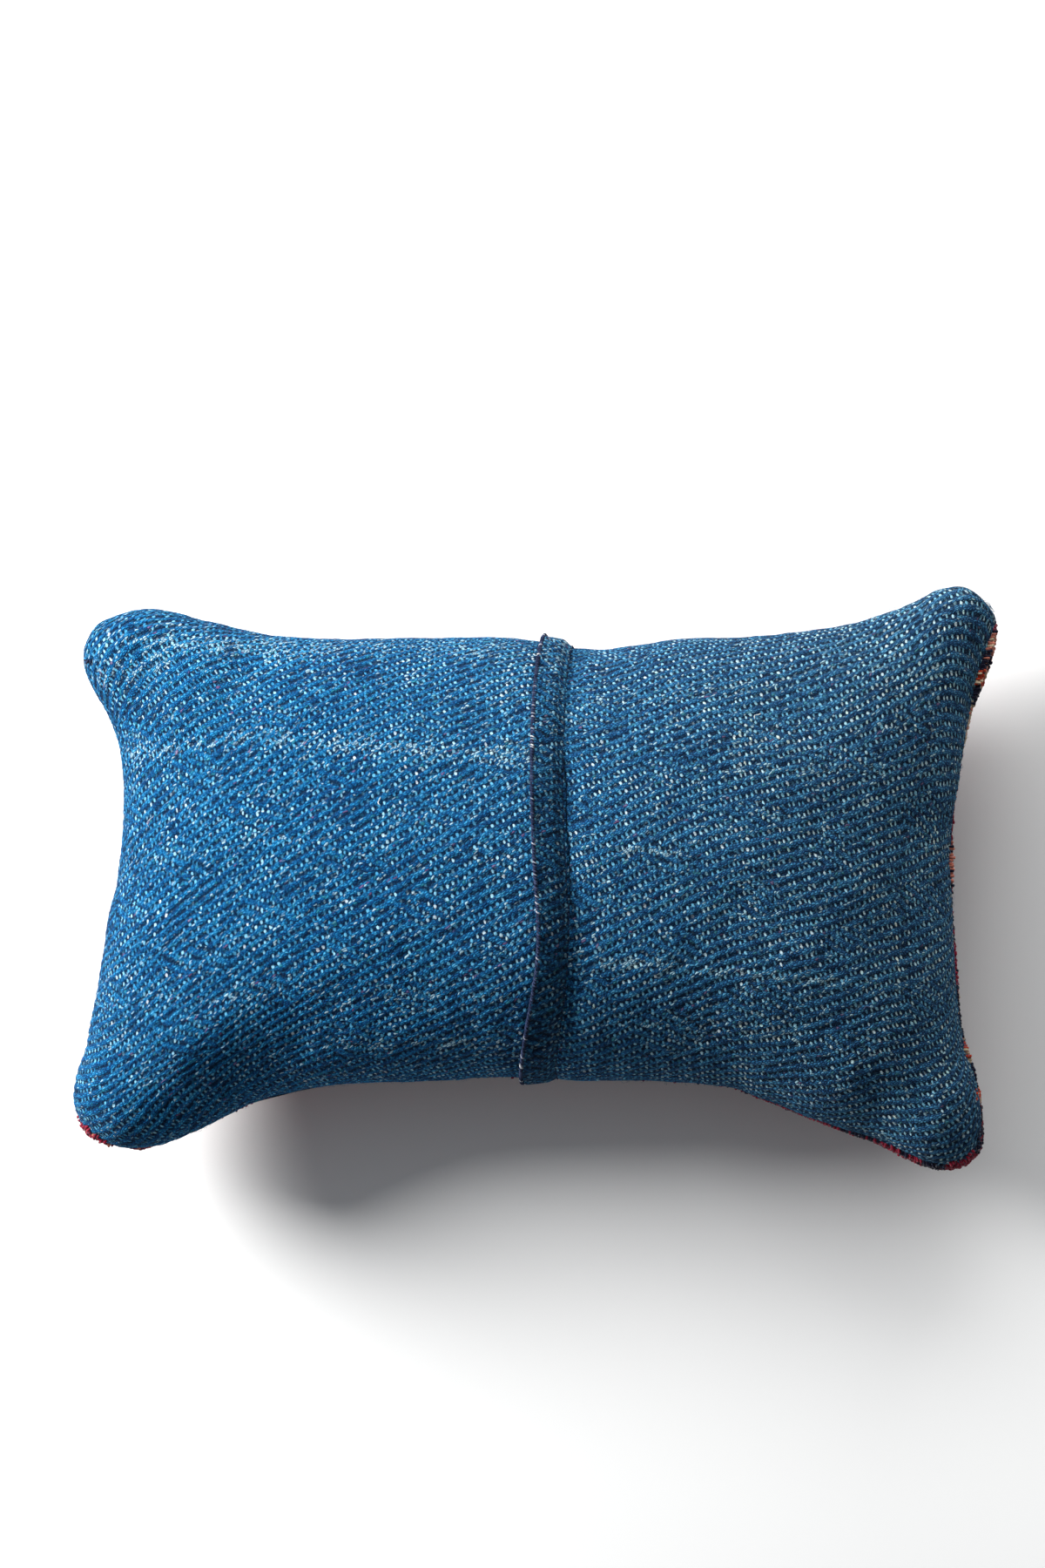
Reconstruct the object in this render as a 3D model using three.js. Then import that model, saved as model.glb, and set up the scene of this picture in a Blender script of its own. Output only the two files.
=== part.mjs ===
// An oblong cushion lying on its carpet side, with its woven back up.
// X runs along the cushion, Y across it, Z up out of the woven back. Sizes are in millimetres.
// The filled body carries a lapped strip with an overcast edge, and a pile carpet wraps its underside.
import * as THREE from 'three';

// Thickness of the filled form
const CROWN = 94; // rise of the woven back above the seam plane
const BELLY = 98; // depth of the carpet side where nothing flattens it
const EASE_DEPTH = 64; // belly depth where it starts to flatten
const FLAT_DEPTH = 90; // belly depth from which it lies level
const REST_DEPTH = (EASE_DEPTH + FLAT_DEPTH) / 2; // seam plane to the surface it lies on
const SAG = 7; // degrees by which the filling has sunk towards the front edge
const FOLD_FADE = 3; // the folds are full from one third of the crown's rise up
const TINY = 1e-6;

// Layers
const PILE = 6; // thickness of the carpet inside the line of the seam
const EAR_PILE = 1.6; // the same at the tips of the ears, where it is pressed thin
const EAR_START = 0.7; // grid share, both ways, from which the carpet thins towards an ear
const GAP = 0.3; // clearance between neighbouring solids
const RIM_GAP = 0.5; // drop of the carpet's rim below the edge of the woven back
const RIM_ROUND = 0.55; // share of the pile's overhang that is left right at the seam
const OVERHANG_REACH = 0.3; // share of the way to the middle over which the overhang fades

// Grid of the cloth: steps along and across, with the lines of the strip added to them
const STEPS_ALONG = 36;
const STEPS_ACROSS = 24;
const STRIP_LINES = [-0.02, 0.018, 0.04, 0.06, 0.079, 0.1, 0.13];
const CLOSEST_LINES = 0.012; // of two grid lines nearer than this, one is left out

// The four drawn-in sides, corner to corner, as the place along the side and the distance out
const BACK_EDGE = [
  { along: -287, out: 168 },
  { along: -280, out: 174 },
  { along: -268, out: 178 },
  { along: -249, out: 180 },
  { along: -205, out: 170 },
  { along: -160, out: 160 },
  { along: -60, out: 158 },
  { along: 0, out: 155 },
  { along: 55, out: 148 },
  { along: 105, out: 153 },
  { along: 165, out: 155 },
  { along: 205, out: 160 },
  { along: 250, out: 174 },
  { along: 267, out: 181 },
  { along: 281, out: 182 },
  { along: 290, out: 177 },
  { along: 298, out: 170 },
];
const FRONT_EDGE = [
  { along: -285, out: -164 },
  { along: -275, out: -169 },
  { along: -259, out: -173 },
  { along: -243, out: -172 },
  { along: -220, out: -164 },
  { along: -162, out: -139 },
  { along: -88, out: -130 },
  { along: 25, out: -128 },
  { along: 125, out: -132 },
  { along: 152, out: -140 },
  { along: 200, out: -158 },
  { along: 222, out: -165 },
  { along: 243, out: -175 },
  { along: 259, out: -180 },
  { along: 274, out: -178 },
  { along: 284, out: -169 },
];
const LEFT_EDGE = [
  { along: -164, out: -285 },
  { along: -155, out: -291 },
  { along: -143, out: -296 },
  { along: -125, out: -294 },
  { along: -105, out: -287 },
  { along: -40, out: -277 },
  { along: 15, out: -267 },
  { along: 47, out: -265 },
  { along: 82, out: -269 },
  { along: 108, out: -277 },
  { along: 138, out: -293 },
  { along: 151, out: -295 },
  { along: 160, out: -292 },
  { along: 168, out: -287 },
];
const RIGHT_EDGE = [
  { along: -169, out: 284 },
  { along: -155, out: 285 },
  { along: -123, out: 282 },
  { along: -107, out: 277 },
  { along: -74, out: 273 },
  { along: 0, out: 271 },
  { along: 46, out: 274 },
  { along: 107, out: 286 },
  { along: 132, out: 294 },
  { along: 150, out: 300 },
  { along: 161, out: 302 },
  { along: 170, out: 298 },
];

// How many degrees the seam lies below the widest line of each side, corner to corner
const SEAM_DROP = {
  back: [
    { at: -1, degrees: 0 },
    { at: -0.88, degrees: 0.5 },
    { at: -0.6, degrees: 7 },
    { at: 0, degrees: 9 },
    { at: 0.6, degrees: 7 },
    { at: 0.88, degrees: 0.5 },
    { at: 1, degrees: 0 },
  ],
  front: [
    { at: -1, degrees: 0 },
    { at: -0.88, degrees: 0.5 },
    { at: -0.6, degrees: 3 },
    { at: 0, degrees: 5 },
    { at: 0.6, degrees: -1 },
    { at: 0.88, degrees: -0.5 },
    { at: 1, degrees: 0 },
  ],
  left: [
    { at: -1, degrees: 0 },
    { at: -0.88, degrees: 0.5 },
    { at: -0.6, degrees: 5 },
    { at: 0, degrees: 8 },
    { at: 0.6, degrees: 6 },
    { at: 0.88, degrees: 0.5 },
    { at: 1, degrees: 0 },
  ],
  right: [
    { at: -1, degrees: 0 },
    { at: -0.88, degrees: 0.2 },
    { at: -0.3, degrees: -1 },
    { at: 0.1, degrees: 1 },
    { at: 0.6, degrees: -6 },
    { at: 0.88, degrees: -0.5 },
    { at: 1, degrees: 0 },
  ],
};

// How far the pile stands out past the seam along each side, corner to corner
const OVERHANG = {
  back: [
    { at: -1, out: 0.3 },
    { at: -0.85, out: 0.5 },
    { at: -0.5, out: 2.5 },
    { at: 0, out: 3 },
    { at: 0.5, out: 2.5 },
    { at: 0.85, out: 0.5 },
    { at: 1, out: 0.3 },
  ],
  front: [
    { at: -1, out: 3.5 },
    { at: -0.9, out: 3 },
    { at: -0.84, out: 2.4 },
    { at: -0.79, out: 1 },
    { at: -0.75, out: 0.5 },
    { at: -0.715, out: 2.4 },
    { at: -0.685, out: 2.4 },
    { at: -0.65, out: 0.5 },
    { at: -0.6, out: 0.3 },
    { at: 0.28, out: 0.3 },
    { at: 0.38, out: 1.5 },
    { at: 0.56, out: 2.3 },
    { at: 0.68, out: 3 },
    { at: 0.8, out: 3.4 },
    { at: 0.93, out: 3.4 },
    { at: 1, out: 3.2 },
  ],
  left: [
    { at: -1, out: 3.5 },
    { at: -0.86, out: 3.5 },
    { at: -0.78, out: 2.2 },
    { at: -0.72, out: 0.8 },
    { at: -0.66, out: 0.3 },
    { at: 1, out: 0.3 },
  ],
  right: [
    { at: -1, out: 3.2 },
    { at: -0.85, out: 3.4 },
    { at: -0.7, out: 3 },
    { at: -0.6, out: 3 },
    { at: -0.54, out: 1.6 },
    { at: -0.48, out: 1.6 },
    { at: -0.44, out: 1.8 },
    { at: -0.36, out: 1 },
    { at: -0.24, out: 2 },
    { at: -0.14, out: 1.6 },
    { at: -0.06, out: 1 },
    { at: 0.02, out: 2 },
    { at: 0.1, out: 1.2 },
    { at: 0.2, out: 0.8 },
    { at: 0.4, out: 0.8 },
    { at: 0.47, out: 2.4 },
    { at: 0.55, out: 3.2 },
    { at: 0.66, out: 2.6 },
    { at: 0.73, out: 1 },
    { at: 0.8, out: 0.4 },
    { at: 1, out: 0.3 },
  ],
};

// Soft hollows and folds of the woven back: middle, half sizes, heading of the long way, depth
const FOLDS = [
  { x: -238, y: 140, long: 46, wide: 22, heading: 45, depth: 3 },
  { x: 232, y: 138, long: 44, wide: 22, heading: -45, depth: 5 },
  { x: -236, y: -134, long: 46, wide: 22, heading: -45, depth: 5 },
  { x: 228, y: -144, long: 44, wide: 20, heading: 45, depth: 5 },
  { x: -178, y: 138, long: 40, wide: 18, heading: 75, depth: 4 },
  { x: -150, y: -112, long: 60, wide: 20, heading: 28, depth: 6 },
  { x: 142, y: -118, long: 50, wide: 20, heading: 150, depth: 4 },
  { x: -256, y: 96, long: 40, wide: 18, heading: -20, depth: 3 },
  { x: 254, y: 20, long: 60, wide: 22, heading: 85, depth: 3 },
];

// The lapped strip: its free edge on the left and its sewn line on the right, down the back
const STRIP_COURSE = [
  { y: 165, free: 14.5, sewn: 32 },
  { y: 110, free: 14, sewn: 32.5 },
  { y: 50, free: 15.5, sewn: 33.5 },
  { y: 0, free: 18, sewn: 36 },
  { y: -35, free: 20, sewn: 37.5 },
  { y: -60, free: 18, sewn: 35.5 },
  { y: -90, free: 11, sewn: 31 },
  { y: -135, free: -2, sewn: 20 },
];
const STRIP_THICKNESS = 3.2;
const STRIP_SEAT = 1.1; // clearance of the strip over the trough it is sewn into
const STRIP_LIFT = 2.2; // how far the free edge stands off the back
const STRIP_SECTION = [0, 0.12, 0.35, 0.6, 0.85, 1]; // steps from the free edge to the sewn line
const STRIP_ENDS = 0.975; // share of the way to the seam where the strip ends
const STRIP_STEPS = 40;
const STRIP_HEM = 0.6; // share of the strip's thickness that is left at its sewn line
const STRIP_MIDDLE = 0.06; // grid share along the cushion near which the strip runs
const STRIP_SEARCH = { from: -0.5, to: 0.6, halvings: 30 }; // grid shares where its lines are looked for
const STRIP_STEP = 0.01; // grid share over which the slope of the cloth under it is read
const CHANNEL_DEPTH = 3; // trough in the body along the sewn line
const CHANNEL_WIDTH = 11;

// The overcast edge: a thin bead of thread along the free edge of the strip
const BEAD_WIDTH = 4;
const BEAD_HEIGHT = 4.4;
const BEAD_SECTION = [-1, -0.6, 0, 0.6, 1];
const BEAD_BLUNTNESS = 0.25; // share of its half height that is left at its two edges

const BLUE_CLOTH = { color: 0x2c6590, roughness: 0.92, metalness: 0 };
const STRIP_CLOTH = { color: 0x1e4a6b, roughness: 0.92, metalness: 0 };
const CARPET_PILE = { color: 0x9c2438, roughness: 0.97, metalness: 0 };
const EDGE_THREAD = { color: 0x2b2a3c, roughness: 0.9, metalness: 0 };

const RIGHT_ANGLE = Math.PI / 2;
const toRadians = THREE.MathUtils.degToRad;

// A smooth curve through the rows of a table, read at one place of its first column
function readTable(rows, place, value, where) {
  const last = rows.length - 1;
  let i = 0;
  while (i < last - 1 && where > rows[i + 1][place]) {
    i += 1;
  }
  const slope = (j) => {
    const before = rows[Math.max(j - 1, 0)];
    const after = rows[Math.min(j + 1, last)];
    return (after[value] - before[value]) / (after[place] - before[place]);
  };
  const width = rows[i + 1][place] - rows[i][place];
  const t = THREE.MathUtils.clamp((where - rows[i][place]) / width, 0, 1);
  const bend = t * t * (3 - 2 * t);
  const leave = t * (1 - t) * (1 - t) * width * slope(i);
  const arrive = t * t * (1 - t) * width * slope(i + 1);
  return rows[i][value] * (1 - bend) + rows[i + 1][value] * bend + leave - arrive;
}

// A point on one side, for a share of -1 to 1 of the way between its corners
function sidePoint(rows, share, runsAlongX) {
  const first = rows[0].along;
  const last = rows[rows.length - 1].along;
  const along = THREE.MathUtils.lerp(first, last, (share + 1) / 2);
  const out = readTable(rows, 'along', 'out', along);
  return runsAlongX ? new THREE.Vector2(along, out) : new THREE.Vector2(out, along);
}

// The plan of the cushion: shares u along and v across, -1 to 1, between the four sides
function planPoint(u, v) {
  const right = (u + 1) / 2;
  const back = (v + 1) / 2;
  const sides = new THREE.Vector2()
    .addScaledVector(sidePoint(FRONT_EDGE, u, true), 1 - back)
    .addScaledVector(sidePoint(BACK_EDGE, u, true), back)
    .addScaledVector(sidePoint(LEFT_EDGE, v, false), 1 - right)
    .addScaledVector(sidePoint(RIGHT_EDGE, v, false), right);
  return sides
    .addScaledVector(sidePoint(FRONT_EDGE, -1, true), -(1 - right) * (1 - back))
    .addScaledVector(sidePoint(FRONT_EDGE, 1, true), -right * (1 - back))
    .addScaledVector(sidePoint(BACK_EDGE, -1, true), -(1 - right) * back)
    .addScaledVector(sidePoint(BACK_EDGE, 1, true), -right * back);
}

// Fullness of the filling, 1 in the middle and 0 at the seam, kept up in the ears
function fullness(across, along) {
  return (across * along) / Math.max(across + along - across * along, TINY);
}

// The belly flattens where the cushion lies on it
function flattened(depth) {
  const over = Math.max(Math.min(depth, FLAT_DEPTH) - EASE_DEPTH, 0);
  return Math.min(depth, EASE_DEPTH) + over - (over * over) / (2 * (FLAT_DEPTH - EASE_DEPTH));
}

// Turns a grid share into the angle round the filling, up to the seam of that side
function wrapAngle(share, low, high, other, turn) {
  const rows = share < 0 ? low : high;
  const drop = toRadians(readTable(rows, 'at', 'degrees', other));
  return share * (RIGHT_ANGLE + turn * drop);
}

// One point of the cushion's skin: turn is 1 on the woven back and -1 on the carpet side
function skinPoint(a, b, turn) {
  const roundX = wrapAngle(a, SEAM_DROP.left, SEAM_DROP.right, b, turn);
  const roundY = wrapAngle(b, SEAM_DROP.front, SEAM_DROP.back, a, turn);
  const plan = planPoint(Math.sin(roundX), Math.sin(roundY));
  const overX = Math.cos(roundX);
  const overY = Math.cos(roundY + toRadians(SAG) * Math.cos(roundY));
  const full = fullness(Math.abs(overX), Math.abs(overY));
  const pastSeam = overX < 0 || overY < 0;
  const onBack = turn > 0 ? !pastSeam : pastSeam;
  const height = onBack ? CROWN * full : -flattened(BELLY * full);
  return new THREE.Vector3(plan.x, plan.y, REST_DEPTH + height);
}

// How deep the soft folds and the sewn channel are at one place of the back
function foldDepth(x, y) {
  let depth = 0;
  for (const fold of FOLDS) {
    const turn = toRadians(fold.heading);
    const along = (x - fold.x) * Math.cos(turn) + (y - fold.y) * Math.sin(turn);
    const across = (y - fold.y) * Math.cos(turn) - (x - fold.x) * Math.sin(turn);
    depth += fold.depth * Math.exp(-((along / fold.long) ** 2) - (across / fold.wide) ** 2);
  }
  const fromChannel = (x - readTableDown(STRIP_COURSE, 'sewn', y)) / CHANNEL_WIDTH;
  return depth + CHANNEL_DEPTH * Math.exp(-fromChannel * fromChannel);
}

// The strip's table runs from the back edge to the front, so it is read with y turned round
function readTableDown(rows, value, y) {
  const turned = rows.map((row) => ({ down: -row.y, [value]: row[value] }));
  return readTable(turned, 'down', value, -y);
}

// The woven back with its folds, which fade out towards the seam
function backPoint(a, b) {
  const point = skinPoint(a, b, 1);
  const rise = THREE.MathUtils.clamp((point.z - REST_DEPTH) / CROWN, 0, 1);
  const fade = Math.min(1, FOLD_FADE * rise);
  point.z -= foldDepth(point.x, point.y) * fade;
  return point;
}

// Grid shares, evenly spaced round the filling
function evenShares(steps) {
  return Array.from({ length: steps + 1 }, (_, i) => -1 + (2 * i) / steps);
}

// A grid of points, one row for each share across
function makeGrid(sharesAlong, sharesAcross, pointAt) {
  return sharesAcross.map((b) => sharesAlong.map((a) => pointAt(a, b)));
}

// Moves each point of a grid by its own vector
function movedGrid(grid, moveAt) {
  return grid.map((row, j) => row.map((point, i) => point.clone().add(moveAt(i, j))));
}

// The closed solid between an upper and a lower grid of the same layout
function solidBetween(upper, lower) {
  const rows = upper.length;
  const columns = upper[0].length;
  const positions = [];
  for (const grid of [upper, lower]) {
    for (const row of grid) {
      row.forEach((point) => positions.push(point.x, point.y, point.z));
    }
  }
  const faces = [];
  const number = (i, j, layer) => (layer * rows + j) * columns + i;
  const quad = (p, q, r, s) => faces.push(p, q, r, p, r, s);
  for (let j = 0; j < rows - 1; j += 1) {
    for (let i = 0; i < columns - 1; i += 1) {
      quad(number(i, j, 0), number(i + 1, j, 0), number(i + 1, j + 1, 0), number(i, j + 1, 0));
      quad(number(i, j, 1), number(i, j + 1, 1), number(i + 1, j + 1, 1), number(i + 1, j, 1));
    }
  }
  const wall = (i, j, k, l) => quad(number(i, j, 1), number(k, l, 1), number(k, l, 0), number(i, j, 0));
  for (let i = 0; i < columns - 1; i += 1) {
    wall(i, 0, i + 1, 0);
    wall(i + 1, rows - 1, i, rows - 1);
  }
  for (let j = 0; j < rows - 1; j += 1) {
    wall(columns - 1, j, columns - 1, j + 1);
    wall(0, j + 1, 0, j);
  }
  const geometry = new THREE.BufferGeometry();
  geometry.setAttribute('position', new THREE.Float32BufferAttribute(positions, 3));
  geometry.setIndex(faces);
  geometry.computeVertexNormals();
  return geometry;
}

// The grid's rim as places [i, j], once round with the cushion on the left
function rimOrder(columns, rows) {
  const front = Array.from({ length: columns - 1 }, (_, i) => [i, 0]);
  const right = Array.from({ length: rows - 1 }, (_, j) => [columns - 1, j]);
  const back = Array.from({ length: columns - 1 }, (_, i) => [columns - 1 - i, rows - 1]);
  const left = Array.from({ length: rows - 1 }, (_, j) => [0, rows - 1 - j]);
  return [...front, ...right, ...back, ...left];
}

// Outward directions of the carpet side, level and square to the outline at the seam
function outwardDirections(grid) {
  const lastRow = grid.length - 1;
  const lastColumn = grid[0].length - 1;
  const directions = grid.map((row, j) => row.map((point, i) => {
    const along = new THREE.Vector3().subVectors(
      row[Math.min(i + 1, lastColumn)],
      row[Math.max(i - 1, 0)],
    );
    const across = new THREE.Vector3().subVectors(
      grid[Math.min(j + 1, lastRow)][i],
      grid[Math.max(j - 1, 0)][i],
    );
    return new THREE.Vector3().crossVectors(across, along).normalize();
  }));
  const rim = rimOrder(lastColumn + 1, lastRow + 1);
  rim.forEach(([i, j], k) => {
    const [beforeI, beforeJ] = rim[(k + rim.length - 1) % rim.length];
    const [afterI, afterJ] = rim[(k + 1) % rim.length];
    const tangent = new THREE.Vector3().subVectors(grid[afterJ][afterI], grid[beforeJ][beforeI]);
    directions[j][i].set(tangent.y, -tangent.x, 0).normalize();
  });
  return directions;
}

// How far the pile stands out past the seam line at a grid share
function overhang(a, b) {
  const sides = [
    { near: 1 - b, out: readTable(OVERHANG.back, 'at', 'out', a) },
    { near: 1 + b, out: readTable(OVERHANG.front, 'at', 'out', a) },
    { near: 1 + a, out: readTable(OVERHANG.left, 'at', 'out', b) },
    { near: 1 - a, out: readTable(OVERHANG.right, 'at', 'out', b) },
  ];
  const nearest = sides.reduce((best, side) => (side.near < best.near ? side : best));
  if (nearest.near < TINY) {
    return RIM_ROUND * nearest.out;
  }
  const fade = Math.max(0, 1 - nearest.near / OVERHANG_REACH);
  return nearest.out * fade * fade * (3 - 2 * fade);
}

// Thickness of the carpet inside the line of the seam at a grid share
function pileThickness(a, b) {
  const intoEar = (Math.min(Math.abs(a), Math.abs(b)) - EAR_START) / (1 - EAR_START);
  return THREE.MathUtils.lerp(PILE, EAR_PILE, THREE.MathUtils.clamp(intoEar, 0, 1));
}

function clothMesh(name, geometry, finish) {
  const mesh = new THREE.Mesh(geometry, new THREE.MeshStandardMaterial(finish));
  mesh.name = name;
  return mesh;
}

const sharesAcross = evenShares(STEPS_ACROSS);
const sharesAlong = [...evenShares(STEPS_ALONG), ...STRIP_LINES]
  .sort((p, q) => p - q)
  .filter((share, i, all) => i === 0 || share - all[i - 1] > CLOSEST_LINES);

const backGrid = makeGrid(sharesAlong, sharesAcross, backPoint);
const seamGrid = makeGrid(sharesAlong, sharesAcross, (a, b) => skinPoint(a, b, -1));
const outward = outwardDirections(seamGrid);
const onRim = (i, j) => (
  i === 0 || j === 0 || i === sharesAlong.length - 1 || j === sharesAcross.length - 1
);

// The carpet side moved inward by the pile's thickness and a clearance, its rim lowered a little
function innerGrid(clearance, rimDip) {
  return movedGrid(seamGrid, (i, j) => {
    const inward = pileThickness(sharesAlong[i], sharesAcross[j]) + clearance;
    const dip = new THREE.Vector3(0, 0, onRim(i, j) ? -rimDip : 0);
    return outward[j][i].clone().multiplyScalar(-inward).add(dip);
  });
}

// The filled body: the woven back over the seat for the carpet
function bodyGeometry() {
  return solidBetween(backGrid, innerGrid(GAP, 0));
}

// The carpet: a thick pile cloth from seam to seam round the underside, level where it lies
function carpetGeometry() {
  const outer = movedGrid(seamGrid, (i, j) => {
    const out = overhang(sharesAlong[i], sharesAcross[j]);
    const dip = new THREE.Vector3(0, 0, onRim(i, j) ? -RIM_GAP : 0);
    return outward[j][i].clone().multiplyScalar(out).add(dip);
  });
  return solidBetween(innerGrid(0, RIM_GAP), outer);
}

// The share along the cushion whose point on the back lies at this x, for one share across
function shareAtX(x, b) {
  let low = STRIP_SEARCH.from;
  let high = STRIP_SEARCH.to;
  for (let step = 0; step < STRIP_SEARCH.halvings; step += 1) {
    const middle = (low + high) / 2;
    if (backPoint(middle, b).x < x) {
      low = middle;
    } else {
      high = middle;
    }
  }
  return (low + high) / 2;
}

// A point over the back, sideways from the free edge of the strip, lifted off the cloth
function overBack(b, sideways, lift) {
  const middle = backPoint(STRIP_MIDDLE, b);
  const free = readTableDown(STRIP_COURSE, 'free', middle.y);
  const a = shareAtX(free + sideways, b);
  const point = backPoint(a, b);
  const along = backPoint(a + STRIP_STEP, b).sub(backPoint(a - STRIP_STEP, b));
  const across = backPoint(a, b + STRIP_STEP).sub(backPoint(a, b - STRIP_STEP));
  const up = new THREE.Vector3().crossVectors(along, across).normalize();
  return point.addScaledVector(up, lift);
}

function stripWidth(b) {
  const y = backPoint(STRIP_MIDDLE, b).y;
  return readTableDown(STRIP_COURSE, 'sewn', y) - readTableDown(STRIP_COURSE, 'free', y);
}

// The strip lies close at its sewn line and stands off a little at its free edge
function stripLift(share) {
  return STRIP_SEAT + STRIP_LIFT * (1 - share) ** 2;
}

const stripShares = evenShares(STRIP_STEPS).map((share) => share * STRIP_ENDS);

function stripGeometry() {
  const layer = (thickness) => stripShares.map((b) => STRIP_SECTION.map((share) => (
    overBack(b, share * stripWidth(b), stripLift(share) + thickness * (share < 1 ? 1 : STRIP_HEM))
  )));
  return solidBetween(layer(STRIP_THICKNESS), layer(0));
}

function beadGeometry() {
  const middle = stripLift(0) + STRIP_THICKNESS / 2;
  const layer = (side) => stripShares.map((b) => BEAD_SECTION.map((share) => {
    const half = (BEAD_HEIGHT / 2) * Math.max(Math.sqrt(1 - share * share), BEAD_BLUNTNESS);
    return overBack(b, -GAP - (BEAD_WIDTH / 2) * (1 - share), middle + side * half);
  }));
  return solidBetween(layer(1), layer(-1));
}

const cushion = new THREE.Group();
cushion.add(clothMesh('cushion', bodyGeometry(), BLUE_CLOTH));
cushion.add(clothMesh('carpet_face', carpetGeometry(), CARPET_PILE));
cushion.add(clothMesh('back_strip', stripGeometry(), STRIP_CLOTH));
cushion.add(clothMesh('strip_overcast', beadGeometry(), EDGE_THREAD));

// The outline is centred over the origin
const outline = new THREE.Box3().setFromObject(cushion);
const middle = outline.getCenter(new THREE.Vector3());
cushion.position.set(-middle.x, -middle.y, 0);
cushion.updateMatrixWorld(true);

export default cushion;
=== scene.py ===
import math

import bpy
import numpy as np
from mathutils import Matrix, Vector


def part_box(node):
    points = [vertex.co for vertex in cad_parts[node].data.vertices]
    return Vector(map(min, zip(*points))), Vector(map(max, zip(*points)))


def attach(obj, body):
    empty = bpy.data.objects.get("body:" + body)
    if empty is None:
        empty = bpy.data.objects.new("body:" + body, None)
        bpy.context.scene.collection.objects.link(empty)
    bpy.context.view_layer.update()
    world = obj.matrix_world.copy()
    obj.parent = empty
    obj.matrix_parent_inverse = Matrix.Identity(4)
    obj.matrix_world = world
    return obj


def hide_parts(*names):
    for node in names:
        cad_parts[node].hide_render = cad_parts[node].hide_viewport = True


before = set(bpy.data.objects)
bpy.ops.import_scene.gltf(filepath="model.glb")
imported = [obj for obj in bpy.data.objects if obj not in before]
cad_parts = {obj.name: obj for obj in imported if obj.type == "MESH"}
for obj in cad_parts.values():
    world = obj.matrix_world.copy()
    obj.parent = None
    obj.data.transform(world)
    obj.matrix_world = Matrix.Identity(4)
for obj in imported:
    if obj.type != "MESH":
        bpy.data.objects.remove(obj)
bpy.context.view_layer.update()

# The cushion lies on its carpet side with the woven back up. Sizes in the tables and in the form
# are in millimetres, as in the part's source. MM turns them into metres when a mesh is made.
MM = 0.001
RANDOM = np.random.default_rng(7)

# The filled form, as in the part's source
CROWN = 94
BELLY = 98
EASE_DEPTH = 64
FLAT_DEPTH = 90
REST_DEPTH = (EASE_DEPTH + FLAT_DEPTH) / 2
SAG = math.radians(7)
PILE = 6
EAR_PILE = 1.6
EAR_START = 0.7
GAP = 0.3
FOLD_FADE = 3
TINY = 1e-6
OUTLINE_GRID = (161, 121)
SEAM_ROWS = 201

# The four drawn-in sides, corner to corner: along the side, distance out
BACK_EDGE = [
    (-287, 168), (-280, 174), (-268, 178), (-249, 180), (-205, 170), (-160, 160), (-60, 158),
    (0, 155), (55, 148), (105, 153), (165, 155), (205, 160), (250, 174), (267, 181), (281, 182),
    (290, 177), (298, 170),
]
FRONT_EDGE = [
    (-285, -164), (-275, -169), (-259, -173), (-243, -172), (-220, -164), (-162, -139),
    (-88, -130), (25, -128), (125, -132), (152, -140), (200, -158), (222, -165), (243, -175),
    (259, -180), (274, -178), (284, -169),
]
LEFT_EDGE = [
    (-164, -285), (-155, -291), (-143, -296), (-125, -294), (-105, -287), (-40, -277), (15, -267),
    (47, -265), (82, -269), (108, -277), (138, -293), (151, -295), (160, -292), (168, -287),
]
RIGHT_EDGE = [
    (-169, 284), (-155, 285), (-123, 282), (-107, 277), (-74, 273), (0, 271), (46, 274),
    (107, 286), (132, 294), (150, 300), (161, 302), (170, 298),
]

# Degrees by which the seam lies below the widest line: share along the side, degrees
BACK_DROP = [(-1, 0), (-0.88, 0.5), (-0.6, 7), (0, 9), (0.6, 7), (0.88, 0.5), (1, 0)]
FRONT_DROP = [(-1, 0), (-0.88, 0.5), (-0.6, 3), (0, 5), (0.6, -1), (0.88, -0.5), (1, 0)]
LEFT_DROP = [(-1, 0), (-0.88, 0.5), (-0.6, 5), (0, 8), (0.6, 6), (0.88, 0.5), (1, 0)]
RIGHT_DROP = [(-1, 0), (-0.88, 0.2), (-0.3, -1), (0.1, 1), (0.6, -6), (0.88, -0.5), (1, 0)]

# How far the pile stands out past the seam: share along the side, distance
BACK_OVERHANG = [
    (-1, 0.3), (-0.85, 0.5), (-0.5, 2.5), (0, 3), (0.5, 2.5), (0.85, 0.5), (1, 0.3),
]
FRONT_OVERHANG = [
    (-1, 3.5), (-0.9, 3), (-0.84, 2.4), (-0.79, 1), (-0.75, 0.5), (-0.715, 2.4), (-0.685, 2.4),
    (-0.65, 0.5), (-0.6, 0.3), (0.28, 0.3), (0.38, 1.5), (0.56, 2.3), (0.68, 3), (0.8, 3.4),
    (0.93, 3.4), (1, 3.2),
]
LEFT_OVERHANG = [
    (-1, 3.5), (-0.86, 3.5), (-0.78, 2.2), (-0.72, 0.8), (-0.66, 0.3), (1, 0.3),
]
RIGHT_OVERHANG = [
    (-1, 3.2), (-0.85, 3.4), (-0.7, 3), (-0.6, 3), (-0.54, 1.6), (-0.48, 1.6), (-0.44, 1.8),
    (-0.36, 1), (-0.24, 2), (-0.14, 1.6), (-0.06, 1), (0.02, 2), (0.1, 1.2), (0.2, 0.8), (0.4, 0.8),
    (0.47, 2.4), (0.55, 3.2), (0.66, 2.6), (0.73, 1), (0.8, 0.4), (1, 0.3),
]
OVERHANG_REACH = 0.3
RIM_ROUND = 0.55

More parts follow.
